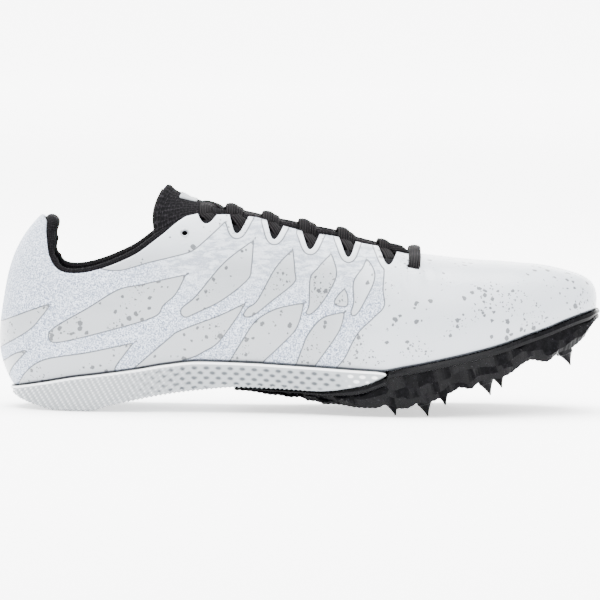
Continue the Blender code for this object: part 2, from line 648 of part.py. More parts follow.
def band(name, first, last, group, skin, reach=LACE_REACH, count=9, lift=0.0):
    """A flat lace laid over the tongue from one row at the outer edge to another at the inner edge."""
    across = np.linspace(-reach, reach, count)
    u = first + (last - first) * (across + reach) / (2 * reach)
    line, normal = tongue_point(u, across)
    line = line + normal * lift
    wide = LACE_END_WIDTH + (LACE_WIDTH - LACE_END_WIDTH) * smooth((1 - np.abs(across / reach)) / 0.35)
    return ribbon(name, line, normal, wide, group, skin)


def ribbon(name, line, normal, wide, group, skin):
    """A flat band along a line, with its width at each point and its flat side facing the normal."""
    run = np.gradient(line, axis=0)
    run /= np.linalg.norm(run, axis=1)[:, None]
    side = np.cross(normal, run)
    side /= np.linalg.norm(side, axis=1)[:, None]
    half, thick = wide[:, None] / 2, LACE_THICK / 2
    grid = np.stack([line + side * half - normal * thick, line + side * half + normal * thick,
                     line - side * half + normal * thick, line - side * half - normal * thick], axis=1)
    return section_solid(name, grid, group, skin)


def make_lace(group, cutters):
    """The lace: a bar at the front and a crossing between each pair of notches."""
    cloth = material("lace_webbing", "1A191B", 0.75)
    rows = [row_at_edge(share) for share, depth in NOTCHES]
    for number in range(len(rows) - 1):
        near = row_at_edge(NOTCHES[number][0] + LACE_AHEAD / LENGTH)
        far = row_at_edge(NOTCHES[number + 1][0] - LACE_BEHIND / LENGTH)
        cross = band(f"lace_cross_{number + 1}", near, far, group, cloth)
        other = band(f"lace_cross_{number + 1}_other", far, near, cutters, None, lift=0.0004)
        other.hide_render = True
        other.display_type = "WIRE"
        cut(cross, other, "UNION")
    bar_row = row_at_edge(SLOT_AT)
    ways = np.array([SLOT_WAY, WALL_WAYS[-2], 0.93, 1.0])
    above = -(LACE_THICK / 2 + 2 * GAP)
    left, right = (on_wall(bar_row, ways, side, above)[0] for side in (OUTER, INNER))
    below, beside = (on_wall(bar_row, ways, side, 0.0)[0] for side in (OUTER, INNER))
    middle = (left[-1] + right[-1]) / 2 + np.array([0, 0, BAR_CROWN])
    line = np.concatenate([left, middle[None], right[::-1]])
    normal = np.concatenate([left - below, (left[-1] - below[-1] + right[-1] - beside[-1])[None],
                             (right - beside)[::-1]])
    normal /= np.linalg.norm(normal, axis=1)[:, None]
    ribbon("lace_bar", line, normal, np.full(len(line), LACE_WIDTH), group, cloth)


def make_loops(group):
    """Webbing loops that come from under the throat's edge in each notch and hold the lace."""
    cloth = material("loop_webbing", "3A3A3E", 0.8)
    for number, (share, depth) in enumerate(NOTCHES, 1):
        middle = row_at_edge(share)
        spread = 0.5 * LOOP_WIDTH / LENGTH
        u = np.array([row_at_edge(share - spread), middle, row_at_edge(share + spread)])
        ways = np.array([0.76, WALL_WAYS[-2], 0.955])
        for side, label in ((OUTER, "outer"), (INNER, "inner")):
            grid = on_wall(u, ways, side, UPPER_WALL + GAP)
            sheet_object(f"lace_loop_{label}_{number}", grid, group, cloth, LOOP_WALL, -1)


def orient_walls(names):
    """Sheets are built so that Solidify goes inward: turn a sheet whose faces look into the shoe."""
    for name in names:
        thing = bpy.data.objects[name]
        mesh = thing.data
        points = np.array([p.center for p in mesh.polygons])
        normals = np.array([p.normal for p in mesh.polygons])
        middle = np.array([0, 0, 0.0])
        middle[0] = points[:, 0].mean()
        middle[2] = points[:, 2].min() - 0.02
        outward = ((points - middle) * normals).sum(axis=1)
        if np.median(outward) < 0:
            mesh.flip_normals()


def main():
    for thing in list(bpy.data.objects):
        bpy.data.objects.remove(thing, do_unlink=True)
    shoe = bpy.data.collections.new("track_spike_shoe")
    cutters = bpy.data.collections.new("cutters")
    bpy.context.scene.collection.children.link(shoe)
    bpy.context.scene.collection.children.link(cutters)
    make_upper(shoe, cutters)
    make_lining(shoe)
    make_tongue(shoe)
    make_insole(shoe)
    make_wedge(shoe)
    make_plate(shoe, cutters)
    make_pins(shoe)
    make_lace(shoe, cutters)
    make_loops(shoe)
    orient_walls(["upper", "collar_lining", "tongue"]
                 + [thing.name for thing in shoe.objects if thing.name.startswith("lace_loop")])


main()
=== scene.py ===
# %% [markdown]
# # A track spike shoe
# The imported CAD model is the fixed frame: its sizes and places are right, and its surfaces are plain.
# This lesson dresses it. Each step says what a piece is on the real shoe, how it could be made in
# Blender, and why it is made this way here. All sizes are in metres, the toe points along +X, and the
# outer side of this right shoe is at -Y.

# %% Load the frame and the tools
import math

import bpy
import numpy as np
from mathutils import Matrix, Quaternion, Vector


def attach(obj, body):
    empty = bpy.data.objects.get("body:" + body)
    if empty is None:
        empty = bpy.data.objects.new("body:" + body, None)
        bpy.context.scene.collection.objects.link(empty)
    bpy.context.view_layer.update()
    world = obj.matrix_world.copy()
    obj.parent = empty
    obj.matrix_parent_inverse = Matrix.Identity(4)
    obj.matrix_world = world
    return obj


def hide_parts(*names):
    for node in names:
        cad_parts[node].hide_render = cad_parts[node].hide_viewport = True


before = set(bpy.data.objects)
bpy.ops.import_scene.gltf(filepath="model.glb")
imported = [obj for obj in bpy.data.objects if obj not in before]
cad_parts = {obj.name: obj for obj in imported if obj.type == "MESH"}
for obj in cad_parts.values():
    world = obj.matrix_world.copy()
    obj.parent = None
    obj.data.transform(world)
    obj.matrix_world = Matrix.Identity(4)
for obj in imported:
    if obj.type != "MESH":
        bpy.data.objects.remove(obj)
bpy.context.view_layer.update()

# %% [markdown]
# ## The shoe's own sizes
# The upper, the collar lining, the tongue and the sole all follow one form, the last. The CAD source
# works it out from a few sizes and a table of sections, and the same formulas are repeated here, so
# that every new piece lies where its solid does. A section starts on the outline of the foot, at a
# share of the length, and rises to the collar, the throat or the middle of the vamp. Its sizes are in
# shares of the driving ones: widths of the half width, and heights of the instep.

# %% Sizes of the last
MM = 0.001
LENGTH = 0.2883
REST_BACK = 0.0336
BALL_WIDTH = 0.094
HEEL_WIDTH = 0.066
HEEL_STACK = 0.0166
TOE_SPRING = 0.0503
INSTEP = 0.0828
TOE_SWING = 0.007
HEEL_BULGE = 0.0118
UPPER_WALL = 0.0018
GAP = 0.0003
OUTER, INNER = -1, 1       # signs of Y on the two sides
WIDENS_FROM, WIDENS_OVER = 0.3, 0.4    # where the width goes from the heel's to the ball's, in shares
SWINGS_FROM = 0.6          # where the toe starts to swing inward
ARCH_FLATNESS = 0.80       # power that flattens a section's quarter circle

SECTION_NAMES = ("at", "outer", "inner", "edge_at", "edge_width", "edge_height", "bulge", "arch")
SECTIONS = (
    (0.0235, 0.000, 0.000, 0.0659, 0.000, 0.997, 1.00, 0.00),
    (0.0380, 0.424, 0.424, 0.0730, 0.330, 0.963, 0.90, 0.00),
    (0.0750, 0.682, 0.682, 0.0770, 0.545, 0.838, 0.66, 0.00),
    (0.1150, 0.818, 0.818, 0.0835, 0.715, 0.695, 0.46, 0.00),
    (0.1550, 0.879, 0.875, 0.1010, 0.822, 0.599, 0.36, 0.00),
    (0.1950, 0.898, 0.885, 0.1350, 0.876, 0.568, 0.32, 0.05),
    (0.2400, 0.900, 0.870, 0.1790, 0.909, 0.582, 0.30, 0.10),
    (0.2850, 0.888, 0.840, 0.2255, 0.903, 0.628, 0.28, 0.20),
    (0.3300, 0.874, 0.805, 0.2647, 0.848, 0.712, 0.26, 0.32),
    (0.3750, 0.860, 0.762, 0.3000, 0.712, 0.813, 0.24, 0.45),
    (0.4150, 0.850, 0.725, 0.3328, 0.556, 0.870, 0.22, 0.55),
    (0.4600, 0.850, 0.710, 0.3800, 0.479, 0.871, 0.20, 0.62),
    (0.5150, 0.862, 0.730, 0.4450, 0.430, 0.835, 0.19, 0.68),
    (0.5700, 0.888, 0.775, 0.5080, 0.383, 0.776, 0.18, 0.74),
    (0.6200, 0.910, 0.830, 0.5680, 0.345, 0.751, 0.17, 0.80),
    (0.6700, 0.926, 0.885, 0.6320, 0.283, 0.681, 0.16, 0.86),
    (0.7150, 0.934, 0.925, 0.6720, 0.203, 0.609, 0.15, 0.92),
    (0.7550, 0.920, 0.940, 0.7000, 0.000, 0.562, 0.14, 1.00),
    (0.8200, 0.846, 0.902, 0.7650, 0.000, 0.482, 0.12, 1.00),
    (0.8800, 0.725, 0.808, 0.8250, 0.000, 0.401, 0.10, 1.00),
    (0.9300, 0.572, 0.662, 0.8750, 0.000, 0.327, 0.08, 1.00),
    (0.9680, 0.395, 0.455, 0.9150, 0.000, 0.259, 0.06, 1.00),
    (0.9900, 0.215, 0.240, 0.9450, 0.000, 0.212, 0.05, 1.00),
    (0.9965, 0.000, 0.000, 0.9650, 0.000, 0.181, 0.05, 1.00),
)
LAST_ROW = len(SECTIONS) - 1
THROAT_ROW = 17            # the row at which the throat's two edges meet

# The foot's floor, where the upper meets the sole: shares of the length, the stack and the toe spring
FLOOR = (
    (0.000, 0.50, 0.000), (0.040, 0.69, 0.000), (0.080, 0.84, 0.000), (0.126, 1.00, 0.000),
    (0.168, 1.10, 0.000), (0.232, 1.265, 0.000), (0.276, 1.40, 0.000), (0.334, 1.505, 0.000),
    (0.417, 1.48, 0.000), (0.487, 1.43, 0.000), (0.581, 1.36, 0.000), (0.630, 1.30, 0.008),
    (0.678, 1.10, 0.117), (0.729, 0.80, 0.276), (0.780, 0.50, 0.440), (0.832, 0.25, 0.600),
    (0.870, 0.10, 0.724), (0.922, 0.00, 0.859), (0.960, 0.00, 0.938), (0.998, 0.00, 1.000),
)
print("last:", LENGTH, "long; ball", BALL_WIDTH, "wide;", len(SECTIONS), "sections")

# %% [markdown]
# ## Curves through the tables
# A table gives a value at a few places only, and smooth curves run through them. The floor's curve never
# overshoots, so its flat stretches stay flat. The sections' curve is mirrored at both ends, so that the
# two sides meet without a kink at heel and toe. A place along the shoe is a row number u, which may lie
# between two rows.

# %% Curves and sections
def smooth(t):
    """An S-curve from 0 to 1: three times the square, less twice the cube."""
    t = np.clip(t, 0, 1)
    return t * t * (3 - 2 * t)


def curve(table, at, column=1):
    """A column of a table on a smooth curve through its rows, with no overshoot at flat stretches."""
    rows = np.array(table)
    x, y = rows[:, 0], rows[:, column]
    slopes = np.diff(y) / np.diff(x)
    inner = np.where(slopes[1:] * slopes[:-1] > 0,
                     2 * slopes[1:] * slopes[:-1] / (slopes[1:] + slopes[:-1] + 1e-12), 0)
    tangent = np.concatenate([slopes[:1], inner, slopes[-1:]])
    at = np.clip(at, x[0], x[-1])
    i = np.clip(np.searchsorted(x, at) - 1, 0, len(x) - 2)
    h = x[i + 1] - x[i]
    f = (at - x[i]) / h
    return ((1 + 2 * f) * (1 - f) ** 2 * y[i] + f * (1 - f) ** 2 * h * tangent[i]
            + f * f * (3 - 2 * f) * y[i + 1] + f * f * (f - 1) * h * tangent[i + 1])


def place_x(share):
    return share * LENGTH - REST_BACK


def share_of(x):
    return (x + REST_BACK) / LENGTH


def axis_y(share):
    """The foot's axis in plan: straight, then turning to the inner side towards the toe."""
    return TOE_SWING * smooth((share - SWINGS_FROM) / (1 - SWINGS_FROM))


def half_width(share):
    """Half of the width unit, which grows on an S-curve from heel to ball."""
    return (HEEL_WIDTH + (BALL_WIDTH - HEEL_WIDTH) * smooth((share - WIDENS_FROM) / WIDENS_OVER)) / 2


def floor_z(share):
    return curve(FLOOR, share, 1) * HEEL_STACK + curve(FLOOR, share, 2) * TOE_SPRING


def sections(u):
    """The section table's columns at row numbers u, on a smooth curve that is mirrored at both ends."""
    rows = np.array(SECTIONS)
    flip = np.array([1, -1, -1, 1, -1, 1, 1, 1])
    rows = np.vstack([rows[1] * flip, rows, rows[-2] * flip])
    u = np.asarray(u, float)
    i = np.clip(np.floor(u).astype(int), 0, LAST_ROW - 1)
    f = (u - i)[..., None]
    a, b, c, d = rows[i], rows[i + 1], rows[i + 2], rows[i + 3]
    value = 0.5 * (2 * b + (c - a) * f + (2 * a - 5 * b + 4 * c - d) * f ** 2
                   + (3 * b - a - 3 * c + d) * f ** 3)
    return {name: value[..., column] for column, name in enumerate(SECTION_NAMES)}


def foot_line(u, side):
    """The outline of the foot in plan, where the upper meets the sole."""
    row = sections(u)
    width = row["outer"] if side == OUTER else row["inner"]
    return np.stack([place_x(row["at"]), axis_y(row["at"]) + side * width * half_width(row["at"])], -1)


def foot_normal(u, side):
    """Outward direction of that outline: its run turned by a quarter."""
    step = foot_line(u + 0.002, side) - foot_line(u - 0.002, side)
    normal = np.stack([step[..., 1], -step[..., 0]], -1) * -side
    return normal / np.linalg.norm(normal, axis=-1)[..., None]


print("floor at the ball:", round(float(floor_z(0.7)), 4))

# %% [markdown]
# ## The wall as a formula
# A modeller would loft a surface through the sections. Here the upper's face is one function of two
# numbers instead, so that every later piece can ask where the wall is and which way it faces: the
# lining, the loops, the tongue and the lace all hang on it.

# %% Wall of the upper
def upper_face(u, t, side):
    """The upper's outer face. u runs along the sections, and t from the sole (0) to the edge (1). A
    section goes from foot to edge partly on a straight line and partly on a flattened quarter of a
    circle, by the section's arch, and swells outward by its bulge halfway up."""
    u, t = np.broadcast_arrays(np.asarray(u, float), np.clip(t, 0, 1))
    row = sections(u)
    foot = foot_line(u, side)
    edge_y = axis_y(row["edge_at"]) + side * np.maximum(row["edge_width"], 0) * half_width(row["edge_at"])
    edge_y = np.where(u >= THROAT_ROW, axis_y(row["edge_at"]), edge_y)
    edge = np.stack([place_x(row["edge_at"]), edge_y], -1)
    turn = t * math.pi / 2
    arch = row["arch"]
    inward = (1 - arch) * (1 - t) + arch * np.cos(turn) ** ARCH_FLATNESS
    upward = (1 - arch) * t + arch * np.sin(turn) ** ARCH_FLATNESS
    swell = HEEL_BULGE * row["bulge"] * (1 - np.abs(2 * t - 1) ** 3)
    plan = edge + (foot - edge) * inward[..., None] + foot_normal(u, side) * swell[..., None]
    height = floor_z(row["at"]) + row["edge_height"] * INSTEP * upward
    return np.concatenate([plan, height[..., None]], -1)


def unit(vectors):
    return vectors / (np.linalg.norm(vectors, axis=-1)[..., None] + 1e-12)


def wall_normal(u, t, side):
    """Outward direction of the upper's face, from small steps along u and t."""
    u, t = np.broadcast_arrays(np.asarray(u, float), np.clip(t, 0, 1))
    across = upper_face(u + 0.01, t, side) - upper_face(u - 0.01, t, side)
    upward = upper_face(u, t + 0.01, side) - upper_face(u, t - 0.01, side)
    return unit(np.cross(across, upward) * -side)


def wall(u, t, side, depth):
    """The upper's face moved inward by a depth."""
    return upper_face(u, t, side) - wall_normal(u, t, side) * np.asarray(depth, float)[..., None]


def row_at_edge(share):
    """Section row whose collar or throat edge lies at a share of the length."""
    fine = np.linspace(2, THROAT_ROW, 601)
    return np.interp(share, sections(fine)["edge_at"], fine)


def row_at_foot(share):
    fine = np.linspace(0, LAST_ROW, 1201)
    return np.interp(share, sections(fine)["at"], fine)


print("collar's lowest place:", round(float(upper_face(np.linspace(2, 8, 61), 1.0, OUTER)[:, 2].min()), 4))

# %% [markdown]
# ## The camera
# The photo looks at the outer side from a little above, through a long lens, so the shoe's far edges
# hardly shrink. The picture is turned by less than one degree. A pixel of the photo is a known length
# on the shoe, so one formula gives the camera its lens, and the same formula turned round places a
# panel's outline, which was read off the photo, on the shoe.

# %% Camera at the photo's angle
PHOTO_PIXELS = 600
PIXEL = 0.4824 * MM        # length of a pixel on the shoe
ELEVATION = math.radians(4.0)
ROLL = math.radians(0.64)
CAMERA_AWAY = 3.0
LOOK_AT = Vector((0.1105, 0.0, 0.0527))
SENSOR = 36.0

camera = bpy.data.objects.new("camera", bpy.data.cameras.new("camera"))
bpy.context.scene.collection.objects.link(camera)
bpy.context.scene.camera = camera
back = Vector((0, -math.cos(ELEVATION), math.sin(ELEVATION)))
camera.location = LOOK_AT + back * CAMERA_AWAY
camera.rotation_mode = "QUATERNION"
camera.rotation_quaternion = (-back).to_track_quat("-Z", "Y") @ Quaternion((0, 0, 1), ROLL)
camera.data.sensor_width = SENSOR
camera.data.lens = SENSOR * CAMERA_AWAY / (PHOTO_PIXELS * PIXEL)
camera.data.clip_start, camera.data.clip_end = 0.1, 50
print("lens:", round(camera.data.lens), "mm")


def photo_place(points):
    """Pixels of the photo at which points on the outer side show: across and down."""
    points = np.asarray(points, float)
    across = points[..., 0] - LOOK_AT.x
    seen_up = (points[..., 2] - LOOK_AT.z) * math.cos(ELEVATION) + points[..., 1] * math.sin(ELEVATION)
    turned_x = across * math.cos(ROLL) + seen_up * math.sin(ROLL)
    turned_up = -across * math.sin(ROLL) + seen_up * math.cos(ROLL)
    middle = PHOTO_PIXELS / 2
    return np.stack([middle + turned_x / PIXEL, middle - turned_up / PIXEL], -1)


# %% [markdown]
# ## Helpers for materials
# Every material is a small tree of nodes that changes colour, roughness and bump from place to place.
# Colours are written as on a screen (sRGB) and turned to linear light once. One small function adds a
# node with its settings and links, and a few short ones on top of it name what is done most often.

# %% Helpers for materials
def hex_colour(code):
    """Linear colour of an sRGB hex code."""
    parts = [int(code[i:i + 2], 16) / 255 for i in (0, 2, 4)]
    return tuple(c / 12.92 if c <= 0.04045 else ((c + 0.055) / 1.055) ** 2.4 for c in parts) + (1.0,)


def add_node(tree, kind, inputs=None, **settings):
    """Adds a node, gives it its settings, and fills its inputs with values or other nodes' outputs."""
    made = tree.nodes.new(kind)
    for name, value in settings.items():
        setattr(made, name, value)
    for name, value in (inputs or {}).items():
        if isinstance(value, bpy.types.NodeSocket):
            tree.links.new(value, made.inputs[name])
        else:
            made.inputs[name].default_value = value
    return made


def new_material(name, colour, roughness, **sockets):
    """A material with one Principled shader; sockets are set by name, with spaces as underscores."""
    made = bpy.data.materials.new(name)
    made.use_nodes = True
    shader = made.node_tree.nodes["Principled BSDF"]
    shader.inputs["Base Color"].default_value = hex_colour(colour)
    shader.inputs["Roughness"].default_value = roughness
    for socket, value in sockets.items():
        shader.inputs[socket.replace("_", " ")].default_value = value
    return made, made.node_tree, shader


def between(tree, value, low, high):
    """0 below low and 1 above high, with a soft step; turned round where low is the larger."""
    return add_node(tree, "ShaderNodeMapRange", {"Value": value, "From Min": low, "From Max": high},
                    interpolation_type="SMOOTHSTEP").outputs["Result"]


def maths(tree, kind, value, *others):
    """A sum of a kind on two values, or on several in turn; ABSOLUTE takes one alone."""
    for other in others or (0.0,):
        value = add_node(tree, "ShaderNodeMath", {0: value, 1: other}, operation=kind).outputs["Value"]
    return value


def blend(tree, share, first, second):
    """A colour between two, by a share. A colour is a hex code or a node's output."""
    a, b = (hex_colour(c) if isinstance(c, str) else c for c in (first, second))
    made = add_node(tree, "ShaderNodeMix", {0: share, 6: a, 7: b}, data_type="RGBA")
    return made.outputs[2]


def raise_surface(tree, shader, height, millimetres, strength=1.0):
    """Bump: a height of 1 stands out by some millimetres."""
    inputs = {"Height": height, "Distance": millimetres * MM, "Strength": strength}
    bump = add_node(tree, "ShaderNodeBump", inputs)
    tree.links.new(bump.outputs["Normal"], shader.inputs["Normal"])


print("pale grey as linear light:", [round(part, 3) for part in hex_colour("C0C0C0")])

# %% [markdown]
# ## Helpers for meshes
# Every new piece is a grid of points that a formula gives. One helper makes it a mesh: it joins points
# that fall together, so that seams and poles close, and it stores what the material needs on the
# points, such as the distance to a panel's outline. The piece rides the shoe's one body, "root".

# %% Helpers for meshes
JOIN_WITHIN = 0.005 * MM   # points nearer than this become one


def grid_faces(rows, columns, closed=False):
    """Four-cornered faces of a grid of points; closed joins the last column to the first."""
    index = np.arange(rows * columns).reshape(rows, columns)
    if closed:
        index = np.concatenate([index, index[:, :1]], axis=1)
    return np.stack([index[:-1, :-1], index[:-1, 1:], index[1:, 1:], index[1:, :-1]], -1).reshape(-1, 4)


def add_piece(name, points, faces, material, marks=None, cloth=None, flat=False, turn=False):
    """A mesh object in the root body. Points that fall together are joined, and a face that loses a
    corner by it stays as a triangle. marks are numbers on the points, and cloth two lengths in
    millimetres for each point, kept as a UV map for patterns that follow the surface."""
    points = np.asarray(points, float).reshape(-1, 3)
    faces = np.asarray(faces)
    if turn:
        faces = faces[:, ::-1]
    key = np.round(points / JOIN_WITHIN).astype(np.int64)
    _, first, where = np.unique(key, axis=0, return_index=True, return_inverse=True)
    joined = where.reshape(-1)[faces]
    ordered = np.sort(joined, axis=1)
    whole = (np.diff(ordered, axis=1) > 0).all(axis=1)
    polygons, corners = joined[whole].tolist(), faces[whole].ravel().tolist()
    for face, source in zip(joined[~whole].tolist(), faces[~whole].tolist()):
        kept = {corner: origin for corner, origin in zip(face, source)}
        if len(kept) > 2:
            polygons.append(list(kept))
            corners += list(kept.values())
    mesh = bpy.data.meshes.new(name)
    mesh.from_pydata(points[first].tolist(), [], polygons)
    for mark, values in (marks or {}).items():
        layer = mesh.attributes.new(mark, "FLOAT", "POINT")
        layer.data.foreach_set("value", np.asarray(values, np.float32).ravel()[first])
    if cloth is not None:
        layer = mesh.uv_layers.new(name="cloth")
        layer.data.foreach_set("uv", np.asarray(cloth, np.float32).reshape(-1, 2)[corners].ravel())
    mesh.update()
    if not flat:
        mesh.shade_smooth()
    mesh.materials.append(material)
    made = bpy.data.objects.new(name, mesh)
    bpy.context.scene.collection.objects.link(made)
    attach(made, "root")
    print(f"{name}: {len(mesh.vertices)} points, {len(mesh.polygons)} faces")
    return made


def capped(rings):
    """Rings of points with one more at each end, all of whose points lie at its neighbour's middle."""
    ends = [np.broadcast_to(rings[k].mean(axis=0), rings[k].shape)[None] for k in (0, -1)]
    return np.concatenate([ends[0], rings, ends[1]])


def closed_rings(name, rings, material, **options):
    """A solid through closed rings of points, one ring a row, with fans as its two ends."""
    grid = capped(rings)
    return add_piece(name, grid, grid_faces(*grid.shape[:2], closed=True), material, **options)


def spaced(fine, run, pitch):
    """Values of fine at which the run along a line grows by about the pitch."""
    total = np.concatenate([[0], np.cumsum(run)])
    count = max(int(math.ceil(total[-1] / pitch)), 1)
    return np.interp(np.linspace(0, total[-1], count + 1), total, fine)


print("faces of a grid of 3 by 3 points:", len(grid_faces(3, 3)))

# %% [markdown]
# ## Pale floor and soft light
# The photo is a studio shot on white: large soft sources, no hard shadow. A sweep, a floor that curves
# up into a backdrop, gives that without a visible corner; it glows, and more so further back, as one
# lit from behind does. It is only stage, not part of the shoe.

# %% Sweep and lights
SWEEP_FRONT, SWEEP_BACK, SWEEP_RISE, SWEEP_WIDE = -5.0, 4.2, 4.0, 8.0
bend = np.linspace(0, math.pi / 2, 16)
profile = np.concatenate([[(SWEEP_FRONT, 0.0)],
                          np.stack([SWEEP_BACK + np.sin(bend), 1 - np.cos(bend)], -1),
                          [(SWEEP_BACK + 1, SWEEP_RISE)]])
sweep_points = np.stack([[(x, y, z) for y, z in profile] for x in (-SWEEP_WIDE, SWEEP_WIDE)])
painted, tree, shader = new_material("matt_white_paint", "FCFCFC", 0.9, Emission_Color=(1, 1, 1, 1))
place = add_node(tree, "ShaderNodeTexCoord").outputs["Object"]
depth = add_node(tree, "ShaderNodeSeparateXYZ", {"Vector": place}).outputs["Y"]
inputs = {"Value": depth, "From Min": -0.2, "From Max": 3.2, "To Min": 0.9, "To Max": 4.0}
glow = add_node(tree, "ShaderNodeMapRange", inputs).outputs["Result"]
tree.links.new(glow, shader.inputs["Emission Strength"])
sweep = add_piece("sweep", sweep_points, grid_faces(2, len(profile)), painted, turn=True)

world = bpy.data.worlds.new("studio")
bpy.context.scene.world = world
world.use_nodes = True
world.node_tree.nodes["Background"].inputs["Color"].default_value = hex_colour("FFFFFF")
world.node_tree.nodes["Background"].inputs["Strength"].default_value = 2.4


def soft_light(name, place, size, power):
    """A square area light that looks at the middle of the shoe."""
    lamp = bpy.data.lights.new(name, "AREA")
    lamp.size = size
    lamp.energy = power
    made = bpy.data.objects.new(name, lamp)
    bpy.context.scene.collection.objects.link(made)
    made.location = place
    made.rotation_euler = (LOOK_AT - Vector(place)).to_track_quat("-Z", "Y").to_euler()
    return made


soft_light("key_light", (0.35, -1.0, 1.6), 1.2, 55)
soft_light("top_light", (-0.1, 0.3, 1.8), 1.6, 180)
print("stage: sweep and two soft lights")

# %% [markdown]
# ## Panels of the upper
# The upper is a film of clear plastic fused over a woven base. Where the film is full the surface is
# smooth, and between those claw-shaped panels the weave shows through. Each outline is read off the
# photo as a few pixels and rounded by a curve that runs through them; a point that is given twice
# makes a sharp tip. On every point of the upper the signed distance to the nearest outline is stored,
# and the material draws a line where it crosses zero, which stays crisp on a coarse mesh.

# %% Outlines of the smooth panels
CLAWS = {
    "heel_high": (
        (-6, 322), (5, 320), (30, 311), (54, 303), (54, 303), (45, 315), (31, 330), (4, 345), (-6, 348),
    ),
    "heel_low": (
        (-6, 363), (3, 361), (17, 353), (31, 349), (31, 349), (15, 365), (8, 377), (0, 392),
    ),
    "side_high": (
        (51, 336), (57, 327), (90, 308), (120, 290), (145, 284.5), (187, 275), (187, 275), (177, 294),
        (165, 305), (155, 317), (108, 331), (60, 342),
    ),
    "side_low": (
        (10, 400), (17, 389), (27, 372), (47, 359), (90, 352), (135, 342.5), (135, 342.5), (118, 365),
        (105, 385),
    ),
    "waist": (
        (126, 376), (134, 369), (169, 339), (182, 330), (221, 315), (246, 303), (246, 303), (237, 318),
        (219, 342), (205, 351), (196, 356), (178, 363), (165, 380),
    ),
    "waist_front": (
        (222, 374), (230, 361), (243, 340), (256, 321), (276, 309), (304, 303), (304, 303), (297, 327),
        (283, 343), (262, 363), (256, 374),
    ),
    "ball_back": (
        (291, 376), (296, 364), (302, 348), (308, 334), (322, 318), (344, 312), (344, 312), (338, 332),
        (315, 365), (309, 376),
    ),
    "leaf_1": (
        (182, 313), (184, 307), (197, 296), (225, 263), (254, 241), (254, 241), (252, 267), (248, 280),
        (223, 300), (199, 312), (187, 317),
    ),
    "leaf_2": (
        (244, 316), (248, 308), (258, 300), (276, 268), (293, 250), (293, 250), (295, 272), (294, 283),
        (272, 301), (254, 315),
    ),
    "leaf_3": (
        (306, 313), (309, 304), (310, 279), (317, 269), (331, 254), (331, 254), (336, 270), (334, 282),
        (323, 301), (312, 313),
    ),
    "leaf_4": (
        (350, 314), (353, 302), (353, 282), (362, 268), (366, 259), (366, 259), (373, 270), (373, 282),
        (364, 301), (356, 314),
    ),
    "leaf_5": (
        (334, 304), (337, 296), (344, 289), (344, 289), (347, 296), (346, 306),
    ),
    "quarter": (
        (118, 271), (150, 263), (175, 257), (192, 252), (204, 243), (226, 222), (229, 214), (222, 205),
        (190, 200), (150, 225), (100, 262),
    ),
    "toe": (
        (336, 376), (345, 356), (357, 333), (372, 318), (383, 306), (382, 290), (383, 268), (378, 262),
        (381, 255), (400, 240), (430, 230), (520, 240), (620, 270), (620, 330), (480, 380), (380, 400),
    ),
}


def rounded_outline(points, steps=7):
    """A closed curve through the points (Catmull-Rom); a point given twice stays a sharp tip."""
    p = np.array(points, float)
    a, b, c, d = (np.roll(p, k, axis=0)[:, None] for k in (1, 0, -1, -2))
    f = np.linspace(0, 1, steps, endpoint=False)[None, :, None]
    line = 0.5 * (2 * b + (c - a) * f + (2 * a - 5 * b + 4 * c - d) * f ** 2
                  + (3 * b - a - 3 * c + d) * f ** 3)
    return line.reshape(-1, 2)


def signed_distance(places, outline):
    """Distance of each place to a closed outline: above zero inside, and below zero outside."""
    a, b = outline, np.roll(outline, -1, axis=0)
    best = np.full(len(places), 1e9)
    inside = np.zeros(len(places), bool)
    for start, end in zip(a, b):
        run = end - start
        if run @ run < 1e-9:
            continue
        f = np.clip((places - start) @ run / (run @ run), 0, 1)
        best = np.minimum(best, np.linalg.norm(places - start - f[:, None] * run, axis=1))
        crosses = (start[1] > places[:, 1]) != (end[1] > places[:, 1])
        if crosses.any():
            at = start[0] + (places[:, 1] - start[1]) / (end[1] - start[1] + 1e-12) * run[0]
            inside ^= crosses & (places[:, 0] < at)
    return np.where(inside, best, -best)


print("panels:", len(CLAWS))

# %% [markdown]
# ## Notches of the throat
# The lace does not run through punched eyelets but through webbing loops, which come out of notches
# between the tabs of the throat's edge. A notch is steep at its heel side, slants at its toe side and
# has a round bottom. The grid of the upper follows it: the columns of points end on the notch's own
# outline, so no cutting tool is needed and the edge stays clean. For that, each point of the outline is
# looked up on the wall, by Newton's steps towards the place at which it shows in the photo.

# %% Places of the notches, and the look-up
NOTCH_SHARES = (0.3400, 0.3930, 0.4550, 0.5150, 0.5800, 0.6450)
# Each notch in the photo: its heel side's place across, its lowest point, and its toe side's place across
NOTCHES = (
    (198.5, (204.5, 225.0), 217.5), (230.0, (236.5, 234.0), 249.0), (267.0, (273.5, 240.0), 283.5),
    (302.0, (309.8, 250.0), 319.6), (338.8, (348.0, 258.0), 355.5), (377.8, (387.6, 265.5), 396.3),
)
# The tabs' upper edge in the photo, from the collar to the front of the throat
TAB_EDGE = (
    (196.0, 214.6), (199.7, 213.6), (218.3, 215.3), (228.0, 215.3), (247.4, 217.1), (255.8, 218.0),
    (267.8, 221.4), (283.7, 227.8), (302.5, 232.6), (320.4, 234.7), (339.7, 237.8), (356.1, 242.8),
    (377.5, 246.4), (394.4, 252.5), (404.0, 253.6),
)
LOOK_UP_STEPS = 14
LONGEST_STEP = (0.2, 0.08)     # the furthest that one step may go, along u and along t
mirror = {OUTER: np.array([1, 1, 1]), INNER: np.array([1, -1, 1])}


def seen(u, t, side):
    """Where the wall's points show in the photo; the inner side counts as if it were the outer one."""
    return photo_place(upper_face(u, t, side) * mirror[side])


